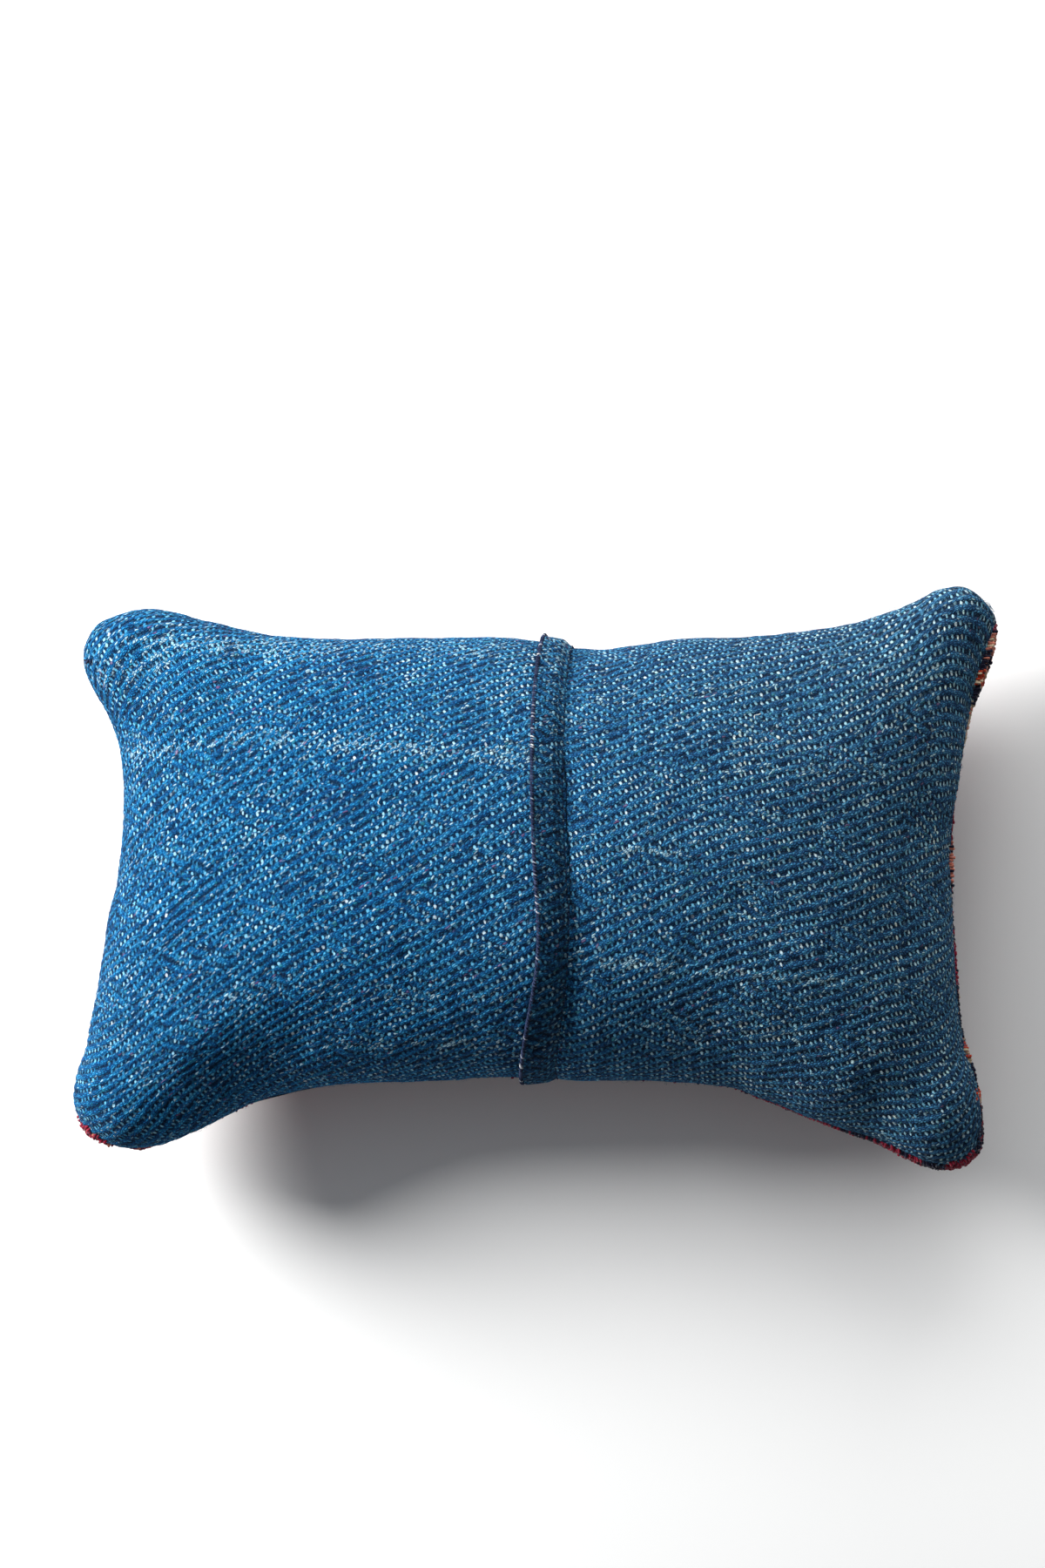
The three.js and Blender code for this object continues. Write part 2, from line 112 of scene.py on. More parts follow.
# Soft hollows and folds of the back: x, y, half length, half width, heading, depth
FOLDS = [
    (-238, 140, 46, 22, 45, 3),
    (232, 138, 44, 22, -45, 5),
    (-236, -134, 46, 22, -45, 5),
    (228, -144, 44, 20, 45, 5),
    (-178, 138, 40, 18, 75, 4),
    (-150, -112, 60, 20, 28, 6),
    (142, -118, 50, 20, 150, 4),
    (-256, 96, 40, 18, -20, 3),
    (254, 20, 60, 22, 85, 3),
]

# The lapped strip down the back: y, free edge, sewn line
STRIP_COURSE = [
    (-135, -2, 20), (-90, 11, 31), (-60, 18, 35.5), (-35, 20, 37.5), (0, 18, 36),
    (50, 15.5, 33.5), (110, 14, 32.5), (165, 14.5, 32),
]
STRIP_SEARCH = (-0.5, 0.6)
STRIP_HALVINGS = 30
STRIP_FREE = [(y, free) for y, free, sewn in STRIP_COURSE]
STRIP_SEWN = [(y, sewn) for y, free, sewn in STRIP_COURSE]
STRIP_THICKNESS = 3.2
STRIP_SEAT = 1.1
STRIP_LIFT = 2.2
STRIP_SINK = 0.9
STRIP_ENDS = 0.97
SEAM_DIP = 0.45
SEAM_WIDTH = 5
CHANNEL_DEPTH = 3
CHANNEL_WIDTH = 11

# The weave: spacing of the warps and picks, and how many warps a weft float and its tie take up
WARP_PITCH = 3.36
PICK_PITCH = 1.6
TWILL = 4
RIDGE_DEPTH = 0.74
PICK_RELIEF = 0.24
FLOAT_RELIEF = 0.25
WARP_RELIEF = 0.55
WANDER = 0.45
WARPS_LEFT = 104
WARPS_RIGHT = 84
PICKS = 232
PICK_TILT_LEFT = 0.12
PICK_TILT_RIGHT = -0.15

# Patches where the twill leans the other way, in columns with every other one half a step lower
TURNED_COLUMNS = 11
TURNED_ROWS = 4
TURNED_FIRST = (-257, 92)
TURNED_STEP = (51, 56)
TURNED_HALF = (18, 11)
TURNED_UNEVEN = 6
TURNED_SPREAD = 0.35

# Pile, from the seam inwards: how far each band reaches, its tuft spacing and sides of a tuft
PILE_BANDS = {
    "rim_pile": {"start": 0, "end": 15, "pitch": 2.0, "sides": 6},
    "side_pile": {"start": 15, "end": 62, "pitch": 3.2, "sides": 4},
    "field_pile": {"start": 62, "end": 400, "pitch": 4.6, "sides": 4},
}

# Where the edge of the pile is turned up over the back: share along the side, how far
FRONT_TURNED = [
    (-1, 6), (-0.92, 5.5), (-0.85, 4.5), (-0.8, 2), (-0.76, 0), (0.55, 0), (0.68, 1.3),
    (0.8, 2.2), (0.93, 2.8), (1, 2.5),
]
LEFT_TURNED = [(-1, 6), (-0.95, 7.5), (-0.9, 6.5), (-0.84, 3), (-0.77, 0.5), (-0.74, 0), (1, 0)]
RIGHT_TURNED = [
    (-1, 2.5), (-0.85, 2.8), (-0.72, 1.6), (-0.64, 1.6), (-0.59, 2.4), (-0.54, 0.8), (-0.46, 1),
    (-0.42, 0), (-0.06, 0), (0.02, 1), (0.1, 0), (0.42, 0), (0.48, 1.8), (0.54, 3.4), (0.6, 1.6),
    (0.68, 1.6), (0.73, 0), (1, 0),
]
TURNED_PITCH = 1.7
TURNED_ROOT = 2.5
TURNED_LEAN = 0.7

# Yarns of the border by the right edge, front to back: y up to which each runs, yarn, yarn of flecks
RIGHT_BORDER = [
    (-176, "crimson", "navy"), (-161, "navy", "crimson"), (-141, "navy", "crimson"),
    (-130, "orange", "cream"), (-118, "navy", "salmon"), (-106, "orange", "cream"),
    (-76, "navy", "cream"), (-43, "crimson", "navy"),
    (-9, "navy", "crimson"), (17, "salmon", "navy"), (76, "crimson", "salmon"),
    (110, "cream", "salmon"), (121, "navy", "navy"), (131, "orange", "cream"),
    (141, "navy", "salmon"), (152, "salmon", "cream"), (400, "crimson", "navy"),
]
# The same along the front edge, left to right: x up to which each runs
FRONT_BORDER = [
    (-240, "crimson", "salmon"), (160, "crimson", "navy"), (200, "crimson", "navy"),
    (222, "navy", "crimson"), (250, "crimson", "navy"), (264, "navy", "navy"),
    (281, "crimson", "crimson"), (400, "navy", "crimson"),
]

# Bands of paler yarn and white slubs: x, y, half length, half width, slope, strength
PALE_YARN = [
    (-200, 85, 60, 5, 0.05, 1), (-110, 80, 50, 5, -0.1, 1), (-30, 72, 50, 5, -0.05, 1.1),
    (-190, 15, 70, 3, 0.1, 0.7), (-180, -75, 80, 3, 0.05, 0.6), (-45, -75, 60, 3, 0, 0.7),
    (60, -55, 30, 3, -0.15, 1.1), (165, -65, 90, 3, -0.1, 1), (-185, 150, 60, 8, -0.1, 1),
    (-70, 145, 75, 5, -0.05, 0.9), (90, 110, 60, 5, 0.1, 0.6), (180, 60, 60, 4, 0, 0.5),
    (-60, -105, 50, 4, 0, 0.7), (120, -95, 60, 4, -0.1, 0.5), (90, 10, 20, 1.5, -0.1, 2.6),
    # This patch on the top-left ear is partly paler yarn and partly painted light
    (-260, 140, 35, 18, 0, 0.8),
]

# Loose threads: x, y, length, heading, curl, radius, tone
STRAYS = [
    (-286, 146, 5, 190, 1.6, 0.6, 0.05), (-284, 142, 6, 150, -1.5, 0.5, 0.1),
    (-236, 32, 8, 75, 2.0, 0.2, 1.0), (22, -43, 8, 20, 2.5, 0.25, 1.0),
    (27, -46, 7, 140, -2, 0.25, 0.9), (-78, 40, 5, 100, 1.0, 0.3, 1.2),
    (213, -84, 4, 30, 1.0, 0.4, 0.5), (150, 92, 5, 60, 1.5, 0.25, 1.1),
]
FIBRES = 1500

# Overcast edge of the strip
STITCH_PITCH = 1.8
STITCH_RADIUS = 0.45
STITCH_REACH = 1.25


def curve(rows, where):
    """A smooth curve through the rows (place, value) of a table, read at an array of places."""
    table = np.asarray(rows, float)
    place, value = table[:, 0], table[:, 1]
    where = np.asarray(where, float)
    before = np.maximum(np.arange(len(place)) - 1, 0)
    after = np.minimum(np.arange(len(place)) + 1, len(place) - 1)
    slope = (value[after] - value[before]) / (place[after] - place[before])
    i = np.clip(np.searchsorted(place, where) - 1, 0, len(place) - 2)
    width = place[i + 1] - place[i]
    t = np.clip((where - place[i]) / width, 0, 1)
    bend = t * t * (3 - 2 * t)
    leave = t * (1 - t) ** 2 * width * slope[i]
    arrive = t * t * (1 - t) * width * slope[i + 1]
    return value[i] * (1 - bend) + value[i + 1] * bend + leave - arrive


def side(rows, share, along_x):
    """Points of one side for shares of -1 to 1 between its corners."""
    first, last = rows[0][0], rows[-1][0]
    along = first + (last - first) * (np.asarray(share) + 1) / 2
    out = curve(rows, along)
    return np.stack([along, out] if along_x else [out, along], axis=-1)


def plan(u, v):
    """The plan of the cushion for shares u along and v across, -1 to 1, between its sides."""
    right, back = (u[..., None] + 1) / 2, (v[..., None] + 1) / 2
    ends = [side(rows, share, True) for rows in (FRONT_EDGE, BACK_EDGE) for share in (-1.0, 1.0)]
    return (
        side(FRONT_EDGE, u, True) * (1 - back)
        + side(BACK_EDGE, u, True) * back
        + side(LEFT_EDGE, v, False) * (1 - right)
        + side(RIGHT_EDGE, v, False) * right
        - ends[0] * (1 - right) * (1 - back)
        - ends[1] * right * (1 - back)
        - ends[2] * (1 - right) * back
        - ends[3] * right * back
    )


def ease(t):
    t = np.clip(t, 0, 1)
    return t * t * (3 - 2 * t)


def flattened(depth):
    over = np.clip(depth, EASE_DEPTH, FLAT_DEPTH) - EASE_DEPTH
    return np.minimum(depth, EASE_DEPTH) + over - over**2 / (2 * (FLAT_DEPTH - EASE_DEPTH))


def wrap(share, low, high, other, turn):
    drop = np.where(share < 0, curve(low, other), curve(high, other))
    return share * (math.pi / 2 + turn * np.radians(drop))


def skin(a, b, turn):
    """Points of the cushion's skin: turn is 1 on the woven back and -1 on the carpet side."""
    a, b = np.broadcast_arrays(np.asarray(a, float), np.asarray(b, float))
    round_x = wrap(a, LEFT_DROP, RIGHT_DROP, b, turn)
    round_y = wrap(b, FRONT_DROP, BACK_DROP, a, turn)
    flat = plan(np.sin(round_x), np.sin(round_y))
    over_x = np.cos(round_x)
    over_y = np.cos(round_y + SAG * np.cos(round_y))
    ax, ay = np.abs(over_x), np.abs(over_y)
    full = ax * ay / np.maximum(ax + ay - ax * ay, TINY)
    past_seam = (over_x < 0) | (over_y < 0)
    on_back = ~past_seam if turn > 0 else past_seam
    height = np.where(on_back, CROWN * full, -flattened(BELLY * full))
    return np.concatenate([flat, (REST_DEPTH + height)[..., None]], axis=-1)


def fold_depth(x, y):
    depth = CHANNEL_DEPTH * np.exp(-(((x - curve(STRIP_SEWN, y)) / CHANNEL_WIDTH) ** 2))
    for fx, fy, half_long, half_wide, heading, deep in FOLDS:
        turn = math.radians(heading)
        along = (x - fx) * math.cos(turn) + (y - fy) * math.sin(turn)
        across = (y - fy) * math.cos(turn) - (x - fx) * math.sin(turn)
        depth = depth + deep * np.exp(-((along / half_long) ** 2) - (across / half_wide) ** 2)
    return depth


def back(a, b):
    """The woven back with its folds, which fade out towards the seam."""
    points = skin(a, b, 1)
    rise = np.clip((points[..., 2] - REST_DEPTH) / CROWN, 0, 1)
    points[..., 2] -= fold_depth(points[..., 0], points[..., 1]) * np.minimum(1, FOLD_FADE * rise)
    return points


def carpet(a, b):
    return skin(a, b, -1)


def share_at_x(x_at, b):
    """The share along the cushion where the back crosses x = x_at(y), for each share across."""
    b = np.asarray(b, float)
    low, high = (np.full(b.shape, share) for share in STRIP_SEARCH)
    for _ in range(STRIP_HALVINGS):
        middle = (low + high) / 2
        points = back(middle, b)
        left = points[..., 0] < x_at(points[..., 1])
        low, high = np.where(left, middle, low), np.where(left, high, middle)
    return (low + high) / 2


def resample(shares, points):
    """Shares moved along each row of a grid so that its points are evenly spaced."""
    steps = np.linalg.norm(np.diff(points, axis=1), axis=-1)
    length = np.concatenate([np.zeros((len(steps), 1)), np.cumsum(steps, axis=1)], axis=1)
    even = np.linspace(0, 1, points.shape[1])
    moved = np.empty_like(shares)
    for k in range(len(shares)):
        for c in range(2):
            moved[k, :, c] = np.interp(even * length[k, -1], length[k], shares[k, :, c])
    return moved


def even_grid(point_at, low, high, columns, rows, tilt=0.0, rough=(112, 96)):
    """Grid shares (a, b) between the share curves low(b) and high(b), spaced as cloth is. The
    rows slope by the tilt, which fades out at the front and the back edge."""
    s, t = np.linspace(0, 1, rough[0]), np.linspace(-1, 1, rough[1])
    a = low(t)[:, None] * (1 - s) + high(t)[:, None] * s
    shares = np.stack([a, np.broadcast_to(t[:, None], a.shape)], axis=-1)
    for _ in range(3):
        shares = resample(shares, point_at(shares[..., 0], shares[..., 1]))
        turned = shares.transpose(1, 0, 2)
        shares = resample(turned, point_at(turned[..., 0], turned[..., 1])).transpose(1, 0, 2)
    shares[..., 1] += tilt * (s - 0.5) * (1 - shares[..., 1] ** 2)
    fine_s, fine_t = np.linspace(0, rough[0] - 1, columns), np.linspace(0, rough[1] - 1, rows)
    i, j = np.minimum(fine_s.astype(int), rough[0] - 2), np.minimum(fine_t.astype(int), rough[1] - 2)
    u, v = (fine_s - i)[None, :, None], (fine_t - j)[:, None, None]
    corner = lambda dj, di: shares[np.ix_(j + dj, i + di)]
    return (
        corner(0, 0) * (1 - u) * (1 - v)
        + corner(0, 1) * u * (1 - v)
        + corner(1, 0) * (1 - u) * v
        + corner(1, 1) * u * v
    )


def unit(vectors):
    return vectors / np.maximum(np.linalg.norm(vectors, axis=-1, keepdims=True), 1e-12)


def grid_normals(points):
    """Normals of a grid, up where its columns run right and its rows run back."""
    return unit(np.cross(np.gradient(points, axis=1), np.gradient(points, axis=0)))


def waves(x, y, longest, shortest, count, seed):
    """Smooth seeded unevenness of about -1 to 1, as a sum of waves of several lengths."""
    random = np.random.default_rng(seed)
    total = np.zeros(np.broadcast(x, y).shape)
    for _ in range(count):
        length = shortest * (longest / shortest) ** random.random()
        heading, start = random.random() * 2 * math.pi, random.random() * 2 * math.pi
        total += np.cos(2 * math.pi * (x * math.cos(heading) + y * math.sin(heading)) / length + start)
    return total / math.sqrt(count)


# The outline in the tables is centred over the origin as the solid is
low_corner, high_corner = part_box("cushion")
outline = back(*np.meshgrid(*(np.linspace(-1, 1, count) for count in OUTLINE_GRID)))
SHIFT = np.array([
    (low_corner[0] + high_corner[0]) / 2 / MM - (outline[..., 0].min() + outline[..., 0].max()) / 2,
    (low_corner[1] + high_corner[1]) / 2 / MM - (outline[..., 1].min() + outline[..., 1].max()) / 2,
    0.0,
])


def new_object(name, points, faces, material, smooth=True, attributes=()):
    """A mesh object from points in the tables' millimetres, with point attributes."""
    mesh = bpy.data.meshes.new(name)
    mesh.from_pydata(((points + SHIFT) * MM).tolist(), [], faces)
    mesh.polygons.foreach_set("use_smooth", np.full(len(mesh.polygons), smooth))
    for attribute, kind, values in attributes:
        layer = mesh.attributes.new(attribute, kind, "POINT")
        field = "vector" if kind == "FLOAT_VECTOR" else "value"
        layer.data.foreach_set(field, np.asarray(values, np.float32).ravel())
    mesh.materials.append(material)
    mesh.update()
    obj = bpy.data.objects.new(name, mesh)
    bpy.context.scene.collection.objects.link(obj)
    return obj


def grid_faces(columns, rows, start=0, flip=False):
    i, j = np.meshgrid(np.arange(columns - 1), np.arange(rows - 1))
    corner = start + (j * columns + i).ravel()
    quads = np.stack([corner, corner + 1, corner + 1 + columns, corner + columns], axis=1)
    return (quads[:, ::-1] if flip else quads).tolist()


def rim(columns, rows, start=0):
    """Point numbers and places round a grid's rim, anticlockwise seen from above."""
    number = lambda i, j: start + j * columns + i
    ring = [(number(i, 0), i / (columns - 1)) for i in range(columns - 1)]
    ring += [(number(columns - 1, j), 1 + j / (rows - 1)) for j in range(rows - 1)]
    ring += [(number(columns - 1 - i, rows - 1), 2 + i / (columns - 1)) for i in range(columns - 1)]
    ring += [(number(0, rows - 1 - j), 3 + j / (rows - 1)) for j in range(rows - 1)]
    return ring


def zip_rims(upper, lower):
    """Faces between two rims of different counts, outward from the upper one down."""
    faces, i, j = [], 0, 0
    upper, lower = upper + [(upper[0][0], 4.0)], lower + [(lower[0][0], 4.0)]
    while i < len(upper) - 1 or j < len(lower) - 1:
        step_upper = j == len(lower) - 1 or (i < len(upper) - 1 and upper[i + 1][1] <= lower[j + 1][1])
        if step_upper:
            faces.append([upper[i][0], lower[j][0], upper[i + 1][0]])
            i += 1
        else:
            faces.append([upper[i][0], lower[j][0], lower[j + 1][0]])
            j += 1
    return faces


# Materials


class Nodes:
    """Short names for building one procedural material."""

    def __init__(self, name):
        self.material = bpy.data.materials.new(name)
        self.material.use_nodes = True
        self.tree = self.material.node_tree
        self.tree.nodes.clear()
        self.shader = self.add("ShaderNodeBsdfPrincipled")
        out = self.add("ShaderNodeOutputMaterial")
        self.tree.links.new(self.shader.outputs[0], out.inputs[0])

    def add(self, kind, **settings):
        node = self.tree.nodes.new(kind)
        for name, value in settings.items():
            setattr(node, name, value)
        return node

    def feed(self, socket, value):
        if isinstance(value, bpy.types.NodeSocket):
            self.tree.links.new(value, socket)
        else:
            socket.default_value = value

    def math(self, operation, *values, clamp=False):
        node = self.add("ShaderNodeMath", operation=operation, use_clamp=clamp)
        for socket, value in zip(node.inputs, values):
            self.feed(socket, value)
        return node.outputs[0]

    def plus(self, *values, clamp=False):
        return self.math("ADD", *values, clamp=clamp)

    def minus(self, *values, clamp=False):
        return self.math("SUBTRACT", *values, clamp=clamp)

    def times(self, *values, clamp=False):
        return self.math("MULTIPLY", *values, clamp=clamp)

    def over(self, *values, clamp=False):
        return self.math("DIVIDE", *values, clamp=clamp)

    def fused(self, *values, clamp=False):
        """The first value times the second, plus the third."""
        return self.math("MULTIPLY_ADD", *values, clamp=clamp)

    def grey(self, value):
        return self.combine(value, value, value)

    def combine(self, x, y, z=0.0):
        node = self.add("ShaderNodeCombineXYZ")
        for socket, value in zip(node.inputs, (x, y, z)):
            self.feed(socket, value)
        return node.outputs[0]

    def noise(self, vector, scale, detail=2.0, roughness=0.5):
        node = self.add("ShaderNodeTexNoise")
        self.feed(node.inputs["Vector"], vector)
        node.inputs["Scale"].default_value = scale
        node.inputs["Detail"].default_value = detail
        node.inputs["Roughness"].default_value = roughness
        return node.outputs["Fac"]

    def parts(self, vector):
        node = self.add("ShaderNodeSeparateXYZ")
        self.feed(node.inputs[0], vector)
        return tuple(node.outputs)

    def cells(self, vector, feature, randomness):
        node = self.add("ShaderNodeTexVoronoi", voronoi_dimensions="2D", feature=feature)
        self.feed(node.inputs["Vector"], vector)
        node.inputs["Scale"].default_value = 1.0
        node.inputs["Randomness"].default_value = randomness
        return node

    def random(self, vector, output="Value"):
        node = self.add("ShaderNodeTexWhiteNoise", noise_dimensions="3D")
        self.feed(node.inputs["Vector"], vector)
        return node.outputs[output]

    def ramp(self, factor, stops, interpolation="LINEAR"):
        node = self.add("ShaderNodeValToRGB")
        node.color_ramp.interpolation = interpolation
        while len(node.color_ramp.elements) < len(stops):
            node.color_ramp.elements.new(0.5)
        for element, (position, colour) in zip(node.color_ramp.elements, stops):
            element.position = position
            element.color = (*colour, 1)
        self.feed(node.inputs[0], factor)
        return node.outputs[0]

    def mix(self, factor, first, second, blend="MIX"):
        node = self.add("ShaderNodeMix", data_type="RGBA", blend_type=blend)
        self.feed(node.inputs[0], factor)
        self.feed(node.inputs[6], first)
        self.feed(node.inputs[7], second)
        return node.outputs[2]

    def between(self, value, low, high, start=0.0, end=1.0):
        node = self.add("ShaderNodeMapRange", interpolation_type="SMOOTHSTEP")
        for socket, number in zip(node.inputs, (value, low, high, start, end)):
            self.feed(socket, number)
        return node.outputs[0]

    def bump(self, height, strength, distance):
        node = self.add("ShaderNodeBump")
        self.feed(node.inputs["Height"], height)
        node.inputs["Strength"].default_value = strength
        node.inputs["Distance"].default_value = distance
        self.feed(self.shader.inputs["Normal"], node.outputs[0])

    def finish(self, colour, roughness=0.9, sheen=0.3, sheen_roughness=0.5):
        self.feed(self.shader.inputs["Base Color"], colour)
        self.shader.inputs["Roughness"].default_value = roughness
        self.shader.inputs["Specular IOR Level"].default_value = 0.06
        self.shader.inputs["Sheen Weight"].default_value = sheen
        self.shader.inputs["Sheen Roughness"].default_value = sheen_roughness
        return self.material


def twill_material(name, shade=None, showing=0.0):
    """Handwoven twill: slanted blue wefts with pale warps showing in the furrows between them.
    The weave attribute holds the place in warps and in picks, and which way the twill leans.
    The shade is a pair for the front and the back end of a painted shade, which darkens the colour
    towards the front end, and showing adds to the warps seen."""
    n = Nodes(name)
    weave = n.add("ShaderNodeAttribute", attribute_name="weave")
    warp, pick, lean = n.parts(weave.outputs["Vector"])
    lean = n.math("SIGN", lean)
    place = n.combine(n.times(warp, WARP_PITCH), n.times(pick, PICK_PITCH))
    x, y, _ = n.parts(place)
    object_x, object_y, _ = n.parts(n.add("ShaderNodeTexCoord").outputs["Object"])
    # Share of the way towards the right end, where the cloth is greyer partly from wear and partly from
    # painted shade
    wear_and_shade = n.between(object_x, -0.15, 0.30)
    grain = n.noise(place, 1.5, 2.0, 0.6)

    # Each warp rises over one pick in four, as a short upright oval
    column = n.math("FLOOR", warp)
    run = n.plus(n.minus(pick, n.times(lean, column)), TWILL / 2 - 0.5)
    tie = n.math("FLOOR", n.over(run, float(TWILL)))
    from_tie = n.minus(run, n.fused(tie, float(TWILL), TWILL / 2))
    shift_x, shift_y, luck = n.parts(n.random(n.combine(column, tie, 1.0), "Color"))
    tint, size, _ = n.parts(n.random(n.combine(column, tie, 2.0), "Color"))
    own_warp = n.random(n.combine(column, 3.0, 3.0))
    off_x = n.minus(n.minus(warp, column), 0.5)
    off_x = n.fused(n.minus(shift_x, 0.5), 0.3, off_x)
    off_x = n.fused(from_tie, 0.1, off_x)
    off_y = n.fused(n.minus(shift_y, 0.5), 0.9, from_tie)
    wide = n.fused(size, 0.13, 0.22)
    oval = n.plus(n.math("POWER", n.over(off_x, wide), 2.0),
                  n.math("POWER", n.over(off_y, 0.76), 2.0))
    oval = n.fused(n.minus(grain, 0.5), 2.6, oval)
    dome = n.between(oval, 0.0, 1.5, 1.0, 0.0)
    patches = n.noise(place, 0.022, 3.0)
    shown = n.fused(own_warp, 0.25, n.fused(luck, -0.6, patches))
    shown = n.fused(wear_and_shade, 0.12, shown)
    present = n.between(n.plus(shown, showing), 0.02, 0.36)
    dot = n.times(n.between(oval, 0.45, 1.05, 1.0, 0.0), present)
    paler = n.between(n.noise(place, 0.045, 2.0), 0.35, 0.65)
    warp_tone = n.fused(own_warp, 0.22, n.times(tint, 0.44))
    warp_tone = n.fused(paler, 0.30, warp_tone)
    warp_tone = n.minus(n.fused(wear_and_shade, 0.22, warp_tone), 0.08)
    warp_colour = n.ramp(warp_tone, [
        (0.0, (0.012, 0.11, 0.25)),
        (0.25, (0.030, 0.22, 0.43)),
        (0.5, (0.10, 0.36, 0.57)),
        (0.70, (0.28, 0.53, 0.68)),
        (0.82, (0.48, 0.55, 0.64)),
        (0.90, (0.34, 0.60, 0.64)),
        (0.98, (0.64, 0.68, 0.64)),
    ])

    # Wefts show as slanted strands, each of its own shade, with dark gaps between them
    slant = math.radians(31)
    bend = n.minus(n.noise(place, 0.12, 2.0), 0.5)
    cosine, sine = math.cos(slant), math.sin(slant)
    along = n.plus(n.times(x, cosine), n.times(y, sine))
    across = n.minus(n.times(y, cosine), n.times(x, sine))
    across = n.fused(bend, 2.6, across)
    strand_place = n.combine(n.over(along, 2.5), n.over(across, 1.15))
    strand = n.cells(strand_place, "F1", 1.0).outputs["Color"]
    edge = n.cells(strand_place, "DISTANCE_TO_EDGE", 1.0).outputs["Distance"]
    strand_tone, speck, strand_luck = n.parts(strand)
    gap = n.between(edge, 0.0, 0.24, 1.0, 0.0)
    yarn_place = n.combine(n.over(x, 26.0), n.times(n.math("FLOOR", pick), 5.17))
    yarn = n.noise(yarn_place, 1.0, 2.0, 0.6)
    streaks = n.noise(n.combine(n.over(x, 150.0), n.over(y, 7.0)), 1.0, 3.0)
    cloud = n.noise(place, 0.012, 3.0)
    fibre = n.noise(n.combine(n.over(along, 1.2), n.over(across, 0.5)), 1.0, 2.0)
    pale = n.add("ShaderNodeAttribute", attribute_name="pale").outputs["Fac"]
    shift = n.times(lean, n.math("FLOOR", pick))
    own_float = n.minus(n.minus(warp, 0.5), shift)
    own_float = n.math("FLOOR", n.over(own_float, float(TWILL)))
    float_luck = n.random(n.combine(own_float, n.math("FLOOR", pick), 5.0))
    tone = n.times(strand_tone, 0.46)
    # Among these parts, the strand's middle is made lighter than its edges, a painted highlight along
    # each strand
    parts = (
        (yarn, 0.26), (streaks, 0.26), (cloud, 0.15), (fibre, 0.26), (grain, 0.3), (pale, 0.08),
        (float_luck, 0.12), (n.between(edge, 0.1, 0.45), 0.22),
    )
    for part, amount in parts:
        tone = n.fused(part, amount, tone)
    # The wefts turn a little darker towards the right end, as painted shade
    tone = n.minus(tone, n.fused(wear_and_shade, 0.022, 0.517))
    blue = n.ramp(tone, [
        (0.08, (0.0005, 0.020, 0.080)),
        (0.28, (0.001, 0.056, 0.185)),
        (0.46, (0.003, 0.110, 0.310)),
        (0.62, (0.009, 0.195, 0.445)),
        (0.78, (0.045, 0.305, 0.560)),
        (0.95, (0.160, 0.450, 0.660)),
    ])
    dash = n.between(n.fused(pale, 0.42, strand_luck), 0.90, 0.98)
    dash = n.times(dash, n.between(edge, 0.02, 0.2, 0.0, 0.9))
    blue = n.mix(dash, blue, (0.36, 0.56, 0.67, 1))
    blue = n.mix(n.between(speck, 0.993, 0.996, 0.0, 0.8), blue, (0.17, 0.08, 0.20, 1))
    blue = n.mix(n.between(speck, 0.03, 0.02, 0.0, 0.7), blue, (0.02, 0.20, 0.25, 1))

    # Furrows and gaps lie in shade
    rise = n.times(lean, n.minus(warp, 0.5))
    diagonal = n.minus(n.minus(pick, 0.5), rise)
    furrow = n.math("COSINE", n.times(diagonal, 2 * math.pi / TWILL))
    deep = n.math("POWER", n.fused(furrow, 0.5, 0.5), 1.8)
    shadow = n.fused(deep, 0.94, n.times(gap, 0.55), clamp=True)
    colour = n.mix(shadow, blue, (0.0006, 0.014, 0.045, 1))
    colour = n.mix(dot, colour, warp_colour)
    light = n.fused(grain, 1.3, 0.35)
    colour = n.mix(1.0, colour, n.grey(light), "MULTIPLY")

    # Towards the right end the blue turns greyer, partly as worn dye and partly as painted shade, and a
    # little darker as painted shade
    grey = n.add("ShaderNodeRGBToBW")
    n.feed(grey.inputs[0], colour)
    grey_blue = (0.70, 1.09, 1.08)
    faded_and_shaded = n.combine(*(n.times(grey.outputs[0], part) for part in grey_blue))
    colour = n.mix(n.times(wear_and_shade, 0.34), colour, faded_and_shaded)
    right_painted_shade = n.fused(wear_and_shade, -0.01, 1.0)
    colour = n.mix(1.0, colour, n.grey(right_painted_shade), "MULTIPLY")
    # Painted shade: the colour darkens towards the front end, by the object's y
    if shade:
        painted_dim = n.between(object_y, *shade)
        colour = n.mix(1.0, colour, n.grey(painted_dim), "MULTIPLY")

    strands = n.fused(fibre, 0.4, n.times(n.between(edge, 0.0, 0.4), 0.8))
    bare = n.minus(1.0, n.times(dot, 0.85))
    relief = n.fused(strands, bare, n.times(deep, -0.6))
    relief = n.fused(grain, 0.7, relief)
    n.bump(n.fused(n.times(dome, present), 0.9, relief), 0.9, 0.0008)
    return n.finish(colour, 0.95, 0.03)


# Carpet yarns by the tone attribute: crimson field, then navy, orange-red, salmon and cream
YARNS = {"crimson": 0.1, "navy": 0.3, "orange": 0.5, "salmon": 0.7, "cream": 0.9}


